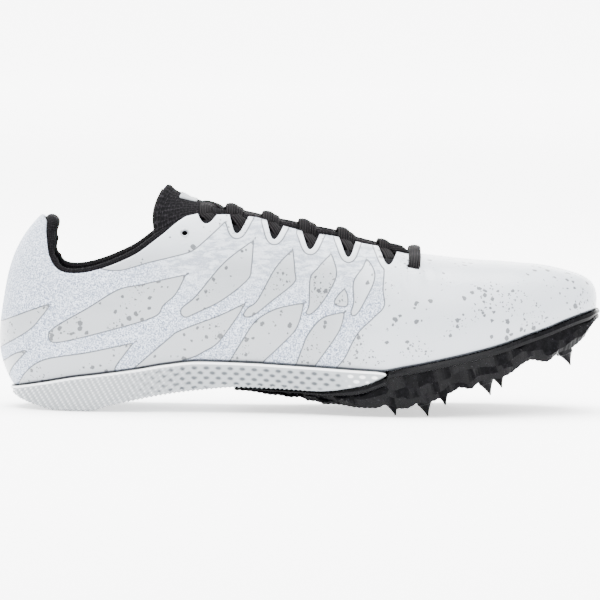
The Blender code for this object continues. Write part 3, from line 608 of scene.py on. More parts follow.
def look_up(places, u, t, side):
    """Rows and ways of the wall's points that show at some places, by Newton's steps from a start."""
    small = 0.001
    for _ in range(LOOK_UP_STEPS):
        here = seen(u, t, side)
        by_u = (seen(u + small, t, side) - here) / small
        by_t = (here - seen(u, t - small, side)) / small
        miss = places - here
        size = by_u[..., 0] * by_t[..., 1] - by_u[..., 1] * by_t[..., 0]
        step_u = (miss[..., 0] * by_t[..., 1] - miss[..., 1] * by_t[..., 0]) / size
        step_t = (by_u[..., 0] * miss[..., 1] - by_u[..., 1] * miss[..., 0]) / size
        u = u + np.clip(step_u, -LONGEST_STEP[0], LONGEST_STEP[0])
        t = np.clip(t + np.clip(step_t, -LONGEST_STEP[1], LONGEST_STEP[1]), 0.02, 0.9999)
    return u, t


start_u, start_t = np.linspace(9.2, 15.6, len(TAB_EDGE)), np.full(len(TAB_EDGE), 0.97)
tab_u, tab_t = look_up(np.array(TAB_EDGE), start_u, start_t, OUTER)
print("the tabs end this far up the wall:", round(float(tab_t.min()), 3), "to", round(float(tab_t.max()), 3))

# %% [markdown]
# ## Columns of the upper's grid
# A column of points climbs the wall from the sole. Between the notches it ends on the tabs' edge, and
# in a notch on the notch's outline. Towards the throat the columns lean forward, as the shoe's own
# lines do, so that the small faces stay nearly square.

# %% Columns of the grid
NOTCH_ROUND = 14.0         # how far from its corner a notch's outline starts to bend, in pixels
NOTCH_STEPS = 30           # columns of points along one notch
COLUMN_BACK = 1.3          # rows by which the throat's columns start behind where they end
COLUMN_PITCH = 1.45 * MM   # distance of the columns between the notches


def edge_way(u):
    """The way up the wall at which it ends, at rows u: 1, or a little less along the tabs."""
    return np.interp(u, [tab_u[0] - 0.4, *tab_u, tab_u[-1] + 0.5], [1.0, *tab_t, 1.0])


def even_line(points, count):
    """Points at even distances along a line."""
    run = np.concatenate([[0], np.cumsum(np.linalg.norm(np.diff(points, axis=0), axis=1))])
    at = np.linspace(0, run[-1], count)
    return np.stack([np.interp(at, run, points[:, k]) for k in range(points.shape[1])], -1)


def notch_line(heel, low, toe):
    """A notch's outline: two straight legs joined by a bend (a quadratic curve about their corner)."""
    corner = np.array(low) + (0, 0.46 * NOTCH_ROUND)
    a, b = (corner + (end - corner) / np.linalg.norm(end - corner) * NOTCH_ROUND for end in (heel, toe))
    f = np.linspace(0, 1, 13)[:, None]
    bend = a * (1 - f) ** 2 + corner * 2 * f * (1 - f) + b * f ** 2
    return even_line(np.concatenate([heel[None], bend, toe[None]]), NOTCH_STEPS + 1)


def plain_rows(first, last):
    """Rows along the uncut edge, spaced by the longer of the runs at the edge and at the foot."""
    fine = np.linspace(first, last, 1201)
    foot = np.linalg.norm(np.diff(foot_line(fine, OUTER), axis=0), axis=1)
    edge = np.linalg.norm(np.diff(upper_face(fine, 1.0, OUTER), axis=0), axis=1)
    return spaced(fine, np.maximum(foot, edge), COLUMN_PITCH)


def foot_row(u):
    """The row at which the column that ends at row u starts."""
    return u - COLUMN_BACK * smooth((u - 4.0) / 5.6) * (1 - smooth((u - 15.6) / 6.4))


def columns(side):
    """Row and way at which each column ends, the row at which it starts, the row on the uncut edge for
    which it heads, and the notches' outlines."""
    fine = np.linspace(8, THROAT_ROW, 1801)
    across = seen(fine, edge_way(fine), OUTER)[:, 0]
    rows, ways, feet, heads, lines, start = [], [], [], [], [], 0.0
    for heel, low, toe in NOTCHES:
        first, last = (float(np.interp(place, across, fine)) for place in (heel, toe))
        line = notch_line(seen(first, edge_way(first), side), low, seen(last, edge_way(last), side))
        between_ends = np.linspace(first, last, NOTCH_STEPS + 1)[1:-1]
        u, t = look_up(line[1:-1], between_ends - 0.15, np.full(NOTCH_STEPS - 1, 0.9), side)
        plain = plain_rows(start, first)
        rows += [plain, u]
        ways += [edge_way(plain), t]
        feet += [foot_row(plain), np.linspace(foot_row(first), foot_row(last), NOTCH_STEPS + 1)[1:-1]]
        heads += [plain, between_ends]
        lines.append(line)
        start = last
    plain = plain_rows(start, LAST_ROW)
    parts = (rows + [plain], ways + [edge_way(plain)], feet + [foot_row(plain)], heads + [plain])
    return (*(np.concatenate(part) for part in parts), lines)


print("columns of one side:", len(columns(OUTER)[0]))

# %% [markdown]
# ## Creases and holes
# A few soft creases are pressed in where the shoe bends: each is a trough along a short line, deepest
# at its middle, with a low ridge beside it. At the eyelet and at the slot a block of the grid is taken
# out and filled by rings that lead from the block's square outline to the round hole.

# %% Creases and holes
EYELET_PLACE, EYELET_RADIUS = (185.8, 233.4), 1.45 * MM
SLOT_PLACE, SLOT_HALF = (412.5, 266.0), (3.3 * MM, 1.3 * MM)
# Creases: start and end in the photo, half width in pixels, depth in millimetres
CREASES = (
    ((395, 272), (402, 306), 4.0, 0.34), ((404, 268), (414, 298), 3.4, 0.26),
    ((421, 264), (430, 290), 3.6, 0.22), ((350, 318), (384, 330), 3.6, 0.20),
    ((60, 288), (104, 296), 5.0, 0.30), ((70, 303), (128, 300), 5.0, 0.22),
    ((120, 276), (160, 258), 5.0, 0.26), ((205, 236), (232, 262), 4.0, 0.22),
    ((262, 250), (282, 272), 4.0, 0.16),
)


def crease_depth(places):
    """Depth of the creases at places of the photo: a bell across each line, less a lower bell for the
    ridge beside it, and both fade out at the line's ends."""
    depth = np.zeros(len(places))
    for start, end, half, deep in CREASES:
        run = np.subtract(end, start)
        f = (places - start) @ run / (run @ run)
        off = np.linalg.norm(places - start - np.clip(f, 0, 1)[:, None] * run, axis=1)
        fade = deep * smooth(1.15 - np.abs(2 * f - 1))
        depth += fade * np.exp(-(off / half) ** 2)
        depth -= 0.4 * fade * np.exp(-((off - 2.1 * half) / half) ** 2)
    return depth * MM


def block_rings(places, centre, half, reach):
    """The outline of a block of the grid round a centre, and rings that lead from it to an oval."""
    away = np.linalg.norm(places - centre, axis=-1)
    i, j = np.unravel_index(np.argmin(away), away.shape)
    i0, i1, j0, j1 = i - reach[0], i + reach[0], j - reach[1], j + reach[1]
    loop = ([(i0, k) for k in range(j0, j1)] + [(k, j1) for k in range(i0, i1)]
            + [(i1, k) for k in range(j1, j0, -1)] + [(k, j0) for k in range(i1, i0, -1)])
    loop = np.array(loop)
    start = places[loop[:, 0], loop[:, 1]]
    way = start - centre
    oval = centre + way / np.linalg.norm(way / np.array(half), axis=1)[:, None]
    return loop, [start * (1 - s) + oval * s for s in (0.40, 0.75, 1.0)], (i0, i1, j0, j1)


print("creases:", len(CREASES))

# %% [markdown]
# ## The upper's wall
# The upper is one thin wall, open at collar, throat and underneath. It is a grid: along the shoe by the
# columns, and up the wall in even shares. Columns head for the uncut edge, and along the throat they
# are moved until they stand upright in the photo, because upright lines can't cross however steep a
# notch is. The distances that the material needs are stored on the points.

# %% Upper mesh
UPPER_ROWS = 58
UPRIGHT_FROM, UPRIGHT_TO = 8.8, 16.6   # rows between which the columns stand upright
UPRIGHT_ABOVE = 0.1        # share of the way up above which they do
HOLE_REACH = ((2, 2), (5, 3))          # columns and rows that are taken out on each side of a hole


def upper_side(side):
    """Points of one side with their places in the photo, the faces that belong to them, and the
    notches' outlines."""
    rows, ways, feet, heads, lines = columns(side)
    level = np.linspace(0, 1, UPPER_ROWS)[None]
    t = ways[:, None] * level
    u = feet[:, None] + (heads - feet)[:, None] * t
    band = smooth((rows - UPRIGHT_FROM) / 0.8) * smooth((UPRIGHT_TO - rows) / 0.9)
    band = smooth((level - UPRIGHT_ABOVE) / 0.7) * band[:, None]
    target = seen(u, t, side)
    target[..., 0] += (seen(rows, ways, side)[:, :1] - target[..., 0]) * band
    part = np.ix_((rows > UPRIGHT_FROM) & (rows < UPRIGHT_TO), level[0] > UPRIGHT_ABOVE)
    u[part], t[part] = look_up(target[part], u[part], t[part], side)
    index = np.arange(u.size).reshape(u.shape)
    faces = np.stack([index[:-1, :-1], index[:-1, 1:], index[1:, 1:], index[1:, :-1]], -1)
    keep = np.ones(faces.shape[:2], bool)
    places, all_u, all_t, rings = seen(u, t, side), [u.ravel()], [t.ravel()], []
    holes = ((EYELET_PLACE, (EYELET_RADIUS / PIXEL,) * 2, HOLE_REACH[0]),
             (SLOT_PLACE, tuple(h / PIXEL for h in SLOT_HALF), HOLE_REACH[1]))
    for centre, half, reach in holes:
        loop, targets, (i0, i1, j0, j1) = block_rings(places, np.array(centre), half, reach)
        keep[i0:i1, j0:j1] = False
        last = index[loop[:, 0], loop[:, 1]]
        ring_u, ring_t = u[loop[:, 0], loop[:, 1]], t[loop[:, 0], loop[:, 1]]
        for target in targets:
            ring_u, ring_t = look_up(target, ring_u, ring_t, side)
            new = sum(part.size for part in all_u) + np.arange(len(loop))
            all_u.append(ring_u)
            all_t.append(ring_t)
            rings.append(np.stack([last, np.roll(last, -1), np.roll(new, -1), new], -1))
            last = new
    all_u, all_t = np.concatenate(all_u), np.concatenate(all_t)
    faces = np.concatenate([faces[keep], *rings])
    places = seen(all_u, all_t, side)
    pressed = crease_depth(places) * smooth((1 - all_t) / 0.05)
    points = upper_face(all_u, all_t, side) - wall_normal(all_u, all_t, side) * pressed[:, None]
    return points, places, faces if side == INNER else faces[:, ::-1], lines


sides = [upper_side(side) for side in (OUTER, INNER)]
upper_points = np.concatenate([side[0] for side in sides])
upper_places = np.concatenate([side[1] for side in sides])
upper_faces = np.concatenate([sides[0][2], sides[1][2] + len(sides[0][0])])
panel = np.max([signed_distance(upper_places, rounded_outline(points)) for points in CLAWS.values()], axis=0)
TAB_MARGIN = 5.3           # width of the plain margin round each notch, in pixels
to_notch = np.min([np.abs(signed_distance(upper_places, line)) for line in sides[0][3]], axis=0)
panel = np.maximum(panel, TAB_MARGIN - to_notch)
above_sole = upper_points[:, 2] - floor_z(share_of(upper_points[:, 0]))
print("upper:", len(upper_points), "points")

# %% [markdown]
# ## The fused film
# Where the film is full it is smooth, pale and a little glossy; between the panels the weave under it
# gives a cooler, grainy grey. Near the throat the weave is lighter and finely crinkled. One stored
# distance parts the two, so no picture is needed and the outline stays sharp at any distance.

# %% Film material
film, tree, shader = new_material("fused_film", "AEB2B6", 0.36, Coat_Weight=0.2, Coat_Roughness=0.3)
place = add_node(tree, "ShaderNodeTexCoord").outputs["Object"]
x, y, z = add_node(tree, "ShaderNodeSeparateXYZ", {"Vector": place}).outputs
outline_away = add_node(tree, "ShaderNodeAttribute", attribute_name="panel").outputs["Fac"]
full = between(tree, outline_away, -0.10, 0.10)
line = between(tree, maths(tree, "ABSOLUTE", outline_away), 0.46, 0.14)

# The weave: a fine sparkling grain in a coarser cloud, and level crinkles near the throat
grain = add_node(tree, "ShaderNodeTexNoise", {"Vector": place, "Scale": 1500.0, "Detail": 3.0}).outputs["Fac"]
cloud = add_node(tree, "ShaderNodeTexNoise", {"Vector": place, "Scale": 300.0, "Detail": 2.0}).outputs["Fac"]
weave = blend(tree, between(tree, grain, 0.38, 0.64), "5F697C", "C3CAD6")
weave = blend(tree, maths(tree, "MULTIPLY", between(tree, cloud, 0.40, 0.62), 0.35), weave, "8F97A3")
flatter = {0: place, 1: (0.30, 0.30, 1.0)}
flatter = add_node(tree, "ShaderNodeVectorMath", flatter, operation="MULTIPLY").outputs["Vector"]
inputs = {"Vector": flatter, "Scale": 620.0, "Detail": 3.0, "Distortion": 0.6}
crinkle = add_node(tree, "ShaderNodeTexNoise", inputs).outputs["Fac"]
crinkled = blend(tree, between(tree, crinkle, 0.38, 0.62), "868C95", "B6BBC1")
near_throat = maths(tree, "MULTIPLY", between(tree, z, 0.050, 0.072), between(tree, x, 0.030, 0.055))
weave = blend(tree, maths(tree, "MULTIPLY", near_throat, 0.8), weave, crinkled)
print("film: weave of", len(tree.nodes), "nodes")

# %% [markdown]
# ## Specks, lines and seams
# Small grey specks lie in clusters on the smooth parts: a Voronoi texture gives cells, and each cell
# holds a dot whose size comes from the cell's own chance value and from a coarse noise. The smooth
# parts get painted light: they are lighter high up and towards the toe. A fine dark line of painted
# shade runs along every outline, a painted shadow lies in a dark band over the sole, and a seam and a
# narrow black strip run down the heel.

# %% Specks, lines and seams
def specks(scale, least, most, offset):
    """Round grey specks of mixed sizes that gather in clusters, as a share from 0 to 1."""
    moved = {0: place, 1: (offset, 0, offset)}
    moved = add_node(tree, "ShaderNodeVectorMath", moved, operation="ADD").outputs["Vector"]
    inputs = {"Vector": moved, "Scale": scale * 2.0, "Detail": 1.0}
    bent = add_node(tree, "ShaderNodeTexNoise", inputs).outputs["Color"]
    moved = add_node(tree, "ShaderNodeMix", {0: 0.0015, 4: moved, 5: bent}, data_type="VECTOR").outputs[1]
    cells = add_node(tree, "ShaderNodeTexVoronoi", {"Vector": moved, "Scale": scale}).outputs
    chance = add_node(tree, "ShaderNodeSeparateColor", {"Color": cells["Color"]}).outputs[0]
    inputs = {"Vector": moved, "Scale": 48.0, "Detail": 1.0}
    cluster = add_node(tree, "ShaderNodeTexNoise", inputs).outputs["Fac"]
    size = maths(tree, "MULTIPLY", between(tree, cluster, least, most), 0.46, chance)
    return between(tree, maths(tree, "SUBTRACT", cells["Distance"], size), 0.02, -0.07)


speck = maths(tree, "MAXIMUM", specks(300.0, 0.40, 0.55, 0.0), specks(680.0, 0.42, 0.62, 0.21))
# Painted light: the plain panels are lighter high up and towards the toe, where more light from above falls
painted_light_high_and_toe = maths(tree, "MAXIMUM", between(tree, x, 0.120, 0.150), between(tree, z, 0.068, 0.084))
plain = blend(tree, painted_light_high_and_toe, "8F9397", "A7ACB2")
plain = blend(tree, maths(tree, "MULTIPLY", speck, 0.85), plain, "26292E")
colour = blend(tree, full, weave, plain)
# Painted shade: a thin dark line along every outline stands for the narrow shadow at the film's step
colour = blend(tree, maths(tree, "MULTIPLY", line, 0.85), colour, "30353C")

# Painted shadow: a dark band on the film just above the sole, where the film turns in under the foot
foot_away = add_node(tree, "ShaderNodeAttribute", attribute_name="above_sole").outputs["Fac"]
colour = blend(tree, maths(tree, "MULTIPLY", between(tree, foot_away, 1.15, 0.75), 0.9), colour, "22262C")

# A narrow black strip and a grey seam down the middle of the heel's back
behind = between(tree, x, -0.014, -0.018)
middle = between(tree, maths(tree, "ABSOLUTE", y), 0.0019, 0.0015)
high = maths(tree, "MULTIPLY", between(tree, z, 0.0518, 0.0526), between(tree, z, 0.0682, 0.0674))
low = maths(tree, "MULTIPLY", between(tree, z, 0.0210, 0.0220), between(tree, z, 0.0440, 0.0430))
colour = blend(tree, maths(tree, "MULTIPLY", behind, middle, low), colour, "4A4D52")
colour = blend(tree, maths(tree, "MULTIPLY", behind, middle, high), colour, "0C0C0D")
tree.links.new(colour, shader.inputs["Base Color"])
tree.links.new(between(tree, full, 1.7, -0.3), shader.inputs["Roughness"])
folded = maths(tree, "MULTIPLY", near_throat, crinkle, 0.8)
relief = maths(tree, "ADD", maths(tree, "MULTIPLY", full, 0.7), maths(tree, "MULTIPLY", grain, 0.45), folded)
relief = maths(tree, "SUBTRACT", relief, maths(tree, "MULTIPLY", line, 0.6))
raise_surface(tree, shader, relief, 0.35, 0.8)
print("film:", len(tree.nodes), "nodes in all")

# %% [markdown]
# ## The wall's thickness
# The grid is the outer face alone. A Solidify modifier gives it the wall's real thickness inward, and
# closes the edges of collar, throat, notches and holes.

# %% Upper piece
upper = add_piece("upper_shell", upper_points, upper_faces, film,
                  marks={"panel": panel * PIXEL / MM, "above_sole": above_sole / MM})
solid = upper.modifiers.new("wall", "SOLIDIFY")
solid.thickness = UPPER_WALL
solid.offset = -1
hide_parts("upper")

# %% [markdown]
# ## Eyelet rings
# The one unlaced eyelet of each side is set with a small pale metal ring. It could be a torus from the
# Add menu; a circle of circles along the wall's own direction needs no turning afterwards. Hard
# materials share one finish: noise shifts their colour and shine, because no real surface is even.

# %% Eyelet rings
RING_RADIUS, RING_WIRE = 1.75 * MM, 0.40 * MM


def hard_finish(tree, shader, scale, dark, light, least, most, deep):
    """A hard surface: fine noise shifts its colour and its roughness a little, and gives a shallow grain."""
    place = add_node(tree, "ShaderNodeTexCoord").outputs["Object"]
    inputs = {"Vector": place, "Scale": scale, "Detail": 3.0}
    noise = add_node(tree, "ShaderNodeTexNoise", inputs).outputs["Fac"]
    tree.links.new(blend(tree, between(tree, noise, 0.3, 0.7), dark, light), shader.inputs["Base Color"])
    inputs = {"Value": noise, "From Min": 0.3, "From Max": 0.7, "To Min": least, "To Max": most}
    rough = add_node(tree, "ShaderNodeMapRange", inputs).outputs["Result"]
    tree.links.new(rough, shader.inputs["Roughness"])
    raise_surface(tree, shader, noise, deep, 0.5)


# Brass under pale enamel: slightly cloudy, with a soft shine
enamel, tree, shader = new_material("enamelled_brass", "8C9094", 0.30, Metallic=0.7)
hard_finish(tree, shader, 1600.0, "7D8185", "9A9EA2", 0.24, 0.38, 0.03)
for side, label in ((OUTER, "outer"), (INNER, "inner")):
    u, t = look_up(np.array([EYELET_PLACE]), np.array([9.3]), np.array([0.9]), side)
    centre, normal = upper_face(u, t, side)[0], wall_normal(u, t, side)[0]
    first = unit(np.cross(normal, (0, 0, 1.0)))
    turn = np.linspace(0, 2 * math.pi, 33)[:, None, None]
    around = np.linspace(0, 2 * math.pi, 13)[None, :, None]
    spoke = np.cos(turn) * first + np.sin(turn) * np.cross(normal, first)
    ring = centre + spoke * (RING_RADIUS + RING_WIRE * np.cos(around)) + normal * RING_WIRE * np.sin(around)
    add_piece(f"eyelet_ring_{label}", ring, grid_faces(33, 13), enamel, turn=True)

# %% [markdown]
# ## Collar lining
# A strip of thick spacer knit lines the collar. It comes up inside the upper, rolls over its edge and
# goes down again, so from outside it shows as a soft dark rim. It is a profile carried along the
# collar: up along the wall's inner face, round a padded rim, and down a few millimetres further in.

# %% Collar lining mesh
LINING_TOP_ROW = 8.6       # where the lining ends beside the tongue
LINING_RIM = 4.2 * MM      # how far the rim stands above the upper's edge
LINING_PAD = 5.0 * MM      # thickness of the padded rim
LINING_START = 0.52        # share of the way up the wall where it begins
LINING_PITCH = 1.4 * MM    # length of a face along the collar
PAD_LEAST, PAD_FULL_FROM = 0.45, 0.62  # the pad's share of its thickness low down, and where it grows


def rounded_end(way):
    """Share of the full thickness near an end: a quarter of a circle from 0 to 1."""
    return np.sqrt(1 - (1 - np.clip(way, 0, 1)) ** 2)


def lining_rings(side, u):
    """Profile of the lining at rows u: up along the wall's inner face, round a half-round rim that stands
    square to the collar's edge, and down again further in."""
    ways = np.linspace(LINING_START, 1, 16)
    outer_depth = UPPER_WALL + 2 * GAP
    front = wall(u[:, None], ways, side, outer_depth)
    out = wall_normal(u, 1.0, side)
    rise = unit(np.cross(out, upper_face(u + 0.02, 1.0, side) - upper_face(u - 0.02, 1.0, side)) * -side)
    turn = np.linspace(0, math.pi, 11)[1:-1]
    full = rounded_end((LINING_TOP_ROW - u) / 0.25)[:, None]
    radius = LINING_PAD / 2 * full
    stem = LINING_RIM * full - radius
    rim = (front[:, -1][:, None] + rise[:, None] * (stem + radius * np.sin(turn))[..., None]
           - out[:, None] * (radius * (1 - np.cos(turn)))[..., None])
    grown = PAD_LEAST + (1 - PAD_LEAST) * smooth((ways - PAD_FULL_FROM) / (1 - PAD_FULL_FROM))
    pad = outer_depth + LINING_PAD * full * smooth((ways - LINING_START) / 0.08) * grown
    rear = wall(u[:, None], ways, side, pad)
    return np.concatenate([front, rim, rear[:, ::-1]], axis=1)


def cloth_lengths(grid, ring):
    """Two lengths for each point of a grid, in millimetres: along its rows and round one of its rings."""
    run = np.linalg.norm(np.diff(grid.mean(axis=1), axis=0), axis=1)
    around = np.linalg.norm(np.diff(grid[ring], axis=0), axis=1)
    lengths = [np.concatenate([[0], np.cumsum(steps)]) / MM for steps in (run, around)]
    return np.stack(np.meshgrid(*lengths, indexing="ij"), -1)


fine_rows = np.linspace(0, LINING_TOP_ROW, 801)
edge_run = np.linalg.norm(np.diff(upper_face(fine_rows, 1.0, OUTER), axis=0), axis=1)
lining_u = spaced(fine_rows, np.maximum(edge_run, 0.2 * edge_run.max()), LINING_PITCH)
lining_halves = [lining_rings(side, lining_u) for side in (OUTER, INNER)]
middle_ring = (lining_halves[0][0] + lining_halves[1][0]) / 2
lining_grid = np.concatenate([lining_halves[0][:0:-1], middle_ring[None], lining_halves[1][1:]])
print("lining:", lining_grid.shape[0], "profiles of", lining_grid.shape[1], "points")

# %% [markdown]
# ## Knit
# The black knit has small round holes between its threads. A Voronoi texture with little randomness
# gives staggered holes; it reads the piece's UV map, which is in millimetres of cloth, so that the knit
# follows the roll of the rim. Real holes are finer and would blur at this size.

# %% Knit finish and the lining's piece
def knit_finish(tree, shader, pitch, dark, light, deep):
    """Meshed knit: staggered round holes between threads, with a few threads that catch the light."""
    cloth = add_node(tree, "ShaderNodeTexCoord").outputs["UV"]
    inputs = {"Vector": cloth, "Scale": 1 / pitch, "Randomness": 0.35}
    holes = add_node(tree, "ShaderNodeTexVoronoi", inputs, voronoi_dimensions="2D").outputs["Distance"]
    inputs = {"Vector": cloth, "Scale": 2.4 / pitch, "Detail": 2.0}
    fuzz = add_node(tree, "ShaderNodeTexNoise", inputs).outputs["Fac"]
    thread = between(tree, holes, 0.25, 0.60)
    bright = maths(tree, "MULTIPLY", thread, between(tree, fuzz, 0.35, 0.70))
    tree.links.new(blend(tree, bright, dark, light), shader.inputs["Base Color"])
    raise_surface(tree, shader, thread, deep, 0.9)


knit, tree, shader = new_material("spacer_knit", "0D0C0E", 0.9, Specular_IOR_Level=0.05)
knit_finish(tree, shader, 1.1, "040405", "1C1A1D", 0.35)
lining = add_piece("collar_padding", lining_grid, grid_faces(*lining_grid.shape[:2], closed=True), knit,
                   cloth=cloth_lengths(lining_grid, len(lining_grid) // 2))
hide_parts("collar_lining")

# %% [markdown]
# ## Tongue
# The tongue is knit over thin foam. It lies under the throat's edges at both sides and comes up between
# them. At its top it is arched and flares; further down the taut lace has pressed it into a flat
# shape with raised shoulders, which is why only its sides show between the lace's turns. Its height
# is the line between the two edges plus a crown, read off the tongue's profile in the photo.

# %% The tongue's face as a formula
CROWN_ROWS = (7.75, 8.2, 9.0, 10.0, 11.0, 12.0, 13.0, 14.0, 15.0, 16.0, 17.0)
CROWN = (0.345, 0.262, 0.160, 0.085, 0.060, 0.062, 0.092, 0.080, 0.066, 0.040, 0.000)
TONGUE_LEAN = 6.6 * MM     # how far the middle of its top stands ahead of its corners
TONGUE_BACK = 1.9 * MM     # how far it bulges to the heel halfway up
TONGUE_TOP_ROW = 7.75
LEAN_TO_ROW = 9.5          # the row down to which it leans
TONGUE_DEPTH = 3.7 * MM    # how deep its sides lie under the upper's face
TONGUE_DIP, DIP_HALF = 0.80, 0.78      # how far its middle is pressed down, a share of the crown, and where
FLAT_FROM, FLAT_OVER = 9.8, 1.4        # rows over which the lace flattens it
WALL_SHARE = 0.62          # how fast the way down the wall grows past the throat's edge


def throat_face(u, across):
    """Outer face of the tongue at rows u and places across: -1 and 1 are the throat's edges, and past
    them it goes down under the upper. Its crown is a parabola at the top, and further down it has
    steep shoulders and a shallow dip."""
    u, across = np.broadcast_arrays(np.asarray(u, float), np.asarray(across, float))
    beyond = np.clip(np.abs(across) - 1, 0, None) * WALL_SHARE
    left, right = (wall(u, 1 - beyond, side, TONGUE_DEPTH) for side in (OUTER, INNER))
    a = np.clip(across, -1, 1)
    share = ((a + 1) / 2)[..., None]
    line = left * (1 - share) + right * share
    flat = smooth((u - FLAT_FROM) / FLAT_OVER)
    dip = TONGUE_DIP * np.clip(1 - (a / DIP_HALF) ** 2, 0, 1) ** 1.5
    rise = (1 - a ** 2) * (1 - flat) + (1 - np.abs(a) ** 5 - dip) * flat
    lean = TONGUE_LEAN * np.clip((LEAN_TO_ROW - u) / (LEAN_TO_ROW - TONGUE_TOP_ROW), 0, 1)
    line[..., 2] += curve(list(zip(CROWN_ROWS, CROWN)), u) * INSTEP * rise
    up = np.clip(rise, 0, 1)
    line[..., 0] += lean * (up ** 3 - TONGUE_BACK / TONGUE_LEAN * np.sin(math.pi * up ** 1.4))
    return line


def throat_normal(u, across):
    """Outward direction of that face."""
    along = throat_face(u + 0.04, across) - throat_face(u - 0.04, across)
    beside = throat_face(u, across + 0.02) - throat_face(u, across - 0.02)
    return unit(np.cross(along, beside))


print("tongue's top:", round(float(throat_face(TONGUE_TOP_ROW, 0.0)[2]), 4))

# %% [markdown]
# ## The tongue's body
# The face gets a thickness: the same grid is moved inward by a pad that thins towards its sides, and
# both grids draw together at the top and at the front end, so that the edge is round. Its rows lie
# closer at the top, where it bends most.

# %% Tongue mesh
TONGUE_END_ROW = 16.9
TONGUE_PAD, PAD_AT_SIDES = 4.4 * MM, 0.35
TONGUE_SIDE = 1.45         # how far across it reaches under the upper
TONGUE_ROUND = 0.3         # rows over which its ends are rounded
round_rows = TONGUE_TOP_ROW + TONGUE_ROUND * (1 - np.cos(np.linspace(0, math.pi / 2, 10)))
top_rows = np.linspace(TONGUE_TOP_ROW + TONGUE_ROUND, 10, 30)[1:]
tongue_u = np.concatenate([round_rows, top_rows, np.linspace(10, TONGUE_END_ROW, 90)[1:]])
hidden = np.linspace(1, TONGUE_SIDE, 8)
tongue_across = np.concatenate([-hidden[::-1], np.linspace(-1, 1, 41)[1:-1], hidden])
face = throat_face(tongue_u[:, None], tongue_across)
thinned = smooth((TONGUE_SIDE - np.abs(tongue_across)) / 0.5)
pad = TONGUE_PAD * (PAD_AT_SIDES + (1 - PAD_AT_SIDES) * thinned)
ends = (rounded_end((tongue_u - TONGUE_TOP_ROW) / TONGUE_ROUND)
        * rounded_end((TONGUE_END_ROW - tongue_u) / TONGUE_ROUND))
top_pad = 1 + 0.5 * (1 - smooth((tongue_u - TONGUE_TOP_ROW) / 1.4))
pad = pad[None] * top_pad[:, None]
outward = throat_normal(tongue_u[:, None], tongue_across)
face = face - outward * (pad * (1 - ends[:, None]) / 2)[..., None]
inner_face = face - outward * (pad * ends[:, None])[..., None]
tongue_grid = np.concatenate([face, inner_face[:, ::-1]], axis=1)
mesh_knit, tree, shader = new_material("mesh_knit", "0E0D0F", 0.9, Specular_IOR_Level=0.05)
knit_finish(tree, shader, 1.3, "050506", "201E21", 0.40)
tongue = add_piece("tongue_padding", tongue_grid, grid_faces(*tongue_grid.shape[:2], closed=True), mesh_knit,
                   cloth=cloth_lengths(tongue_grid, 40), turn=True)
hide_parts("tongue")

# %% [markdown]
# ## Patch on the tongue
# A small pale patch of coated cloth is sewn on the front of the tongue. It is a thin sheet that asks
# the tongue's formula where the face is, and lies half a millimetre above it.

# %% Patch on the tongue
PATCH_FIRST, PATCH_LAST, PATCH_HALF = 8.72, 9.85, 0.36
patch_u, patch_across = np.meshgrid(np.linspace(0, 1, 30), np.linspace(-1, 1, 21), indexing="ij")
corner = 1 - 0.12 * np.clip((np.abs(2 * patch_u - 1) - 0.8) / 0.2, 0, 1) ** 2
row = PATCH_FIRST + (PATCH_LAST - PATCH_FIRST) * patch_u
aside = patch_across * PATCH_HALF * corner
lift = 0.5 * MM * rounded_end((1 - np.abs(patch_across)) / 0.1)
coated, tree, shader = new_material("coated_cloth", "8C8F92", 0.5)
place = add_node(tree, "ShaderNodeTexCoord").outputs["Object"]
weave = add_node(tree, "ShaderNodeTexNoise", {"Vector": place, "Scale": 900.0, "Detail": 2.0}).outputs["Fac"]
tree.links.new(blend(tree, weave, "6C6F72", "8E9194"), shader.inputs["Base Color"])
raise_surface(tree, shader, weave, 0.1, 0.5)
patch_points = throat_face(row, aside) + throat_normal(row, aside) * lift[..., None]
patch = add_piece("tongue_patch", patch_points, grid_faces(30, 21), coated, turn=True)
solid = patch.modifiers.new("cloth", "SOLIDIFY")
solid.thickness = 0.6 * MM
solid.offset = -1

# %% [markdown]
# ## Foam wedge
# The pale wedge under the heel is moulded EVA foam: a rim stands out at its top, rows of shallow dents
# cover its side, and its lower edge is finely toothed. Bump in the material would be enough for dents
# seen from afar; these are a millimetre deep and shade themselves, so each point of the side is moved
# out or in by a relief function of its place.

# %% Relief of the wedge's side
RIM_HIGH = 1.3 * MM
DENT_PITCH, DENT_ROWS = 5.75 * MM, 2.4 * MM
DENT_LONG, DENT_HIGH, DENT_DEEP = 1.40 * MM, 0.80 * MM, 0.95 * MM
DENTS_FROM, KNOBS_FROM = 0.020, 0.128  # X at which the dents start, and at which they turn into knobs
BUMP_PITCH, BUMP_HIGH = 2.6 * MM, 0.42 * MM
BUMPS_TO = 0.080           # X at which the heel's bumps have died out


def dent_relief(x, down, high):
    """How far the wedge's side stands out: small staggered bumps at the heel, staggered oval dents along
    the waist, and round knobs near the nose. down is the distance below the top, and high the side's
    height there."""
    relief = np.zeros(np.shape(down))
    for row in range(1, 8):
        middle = RIM_HIGH + DENT_ROWS * (row - 0.35)
        shift = DENT_PITCH / 2 * (row % 2)
        along = (x + shift + DENT_PITCH / 2) % DENT_PITCH - DENT_PITCH / 2
        spot = np.exp(-((along / DENT_LONG) ** 2 + ((down - middle) / DENT_HIGH) ** 2) ** 1.4)
        fits = smooth((high - middle - 0.4 * MM) / (1.2 * MM))
        turn_out = 1 - 1.8 * smooth((x - KNOBS_FROM) / 0.008)
        relief -= DENT_DEEP * spot * fits * smooth((x - DENTS_FROM) / 0.040) * turn_out
    bumps = np.sin(2 * math.pi * (x + 0.5 * down) / BUMP_PITCH) * np.sin(2 * math.pi * down / BUMP_PITCH)
    relief += BUMP_HIGH * bumps * (1 - smooth((x - (BUMPS_TO - 0.050)) / 0.050))
    return relief


print("dents:", round(DENT_DEEP / MM, 2), "mm deep, every", round(DENT_PITCH / MM, 2), "mm")
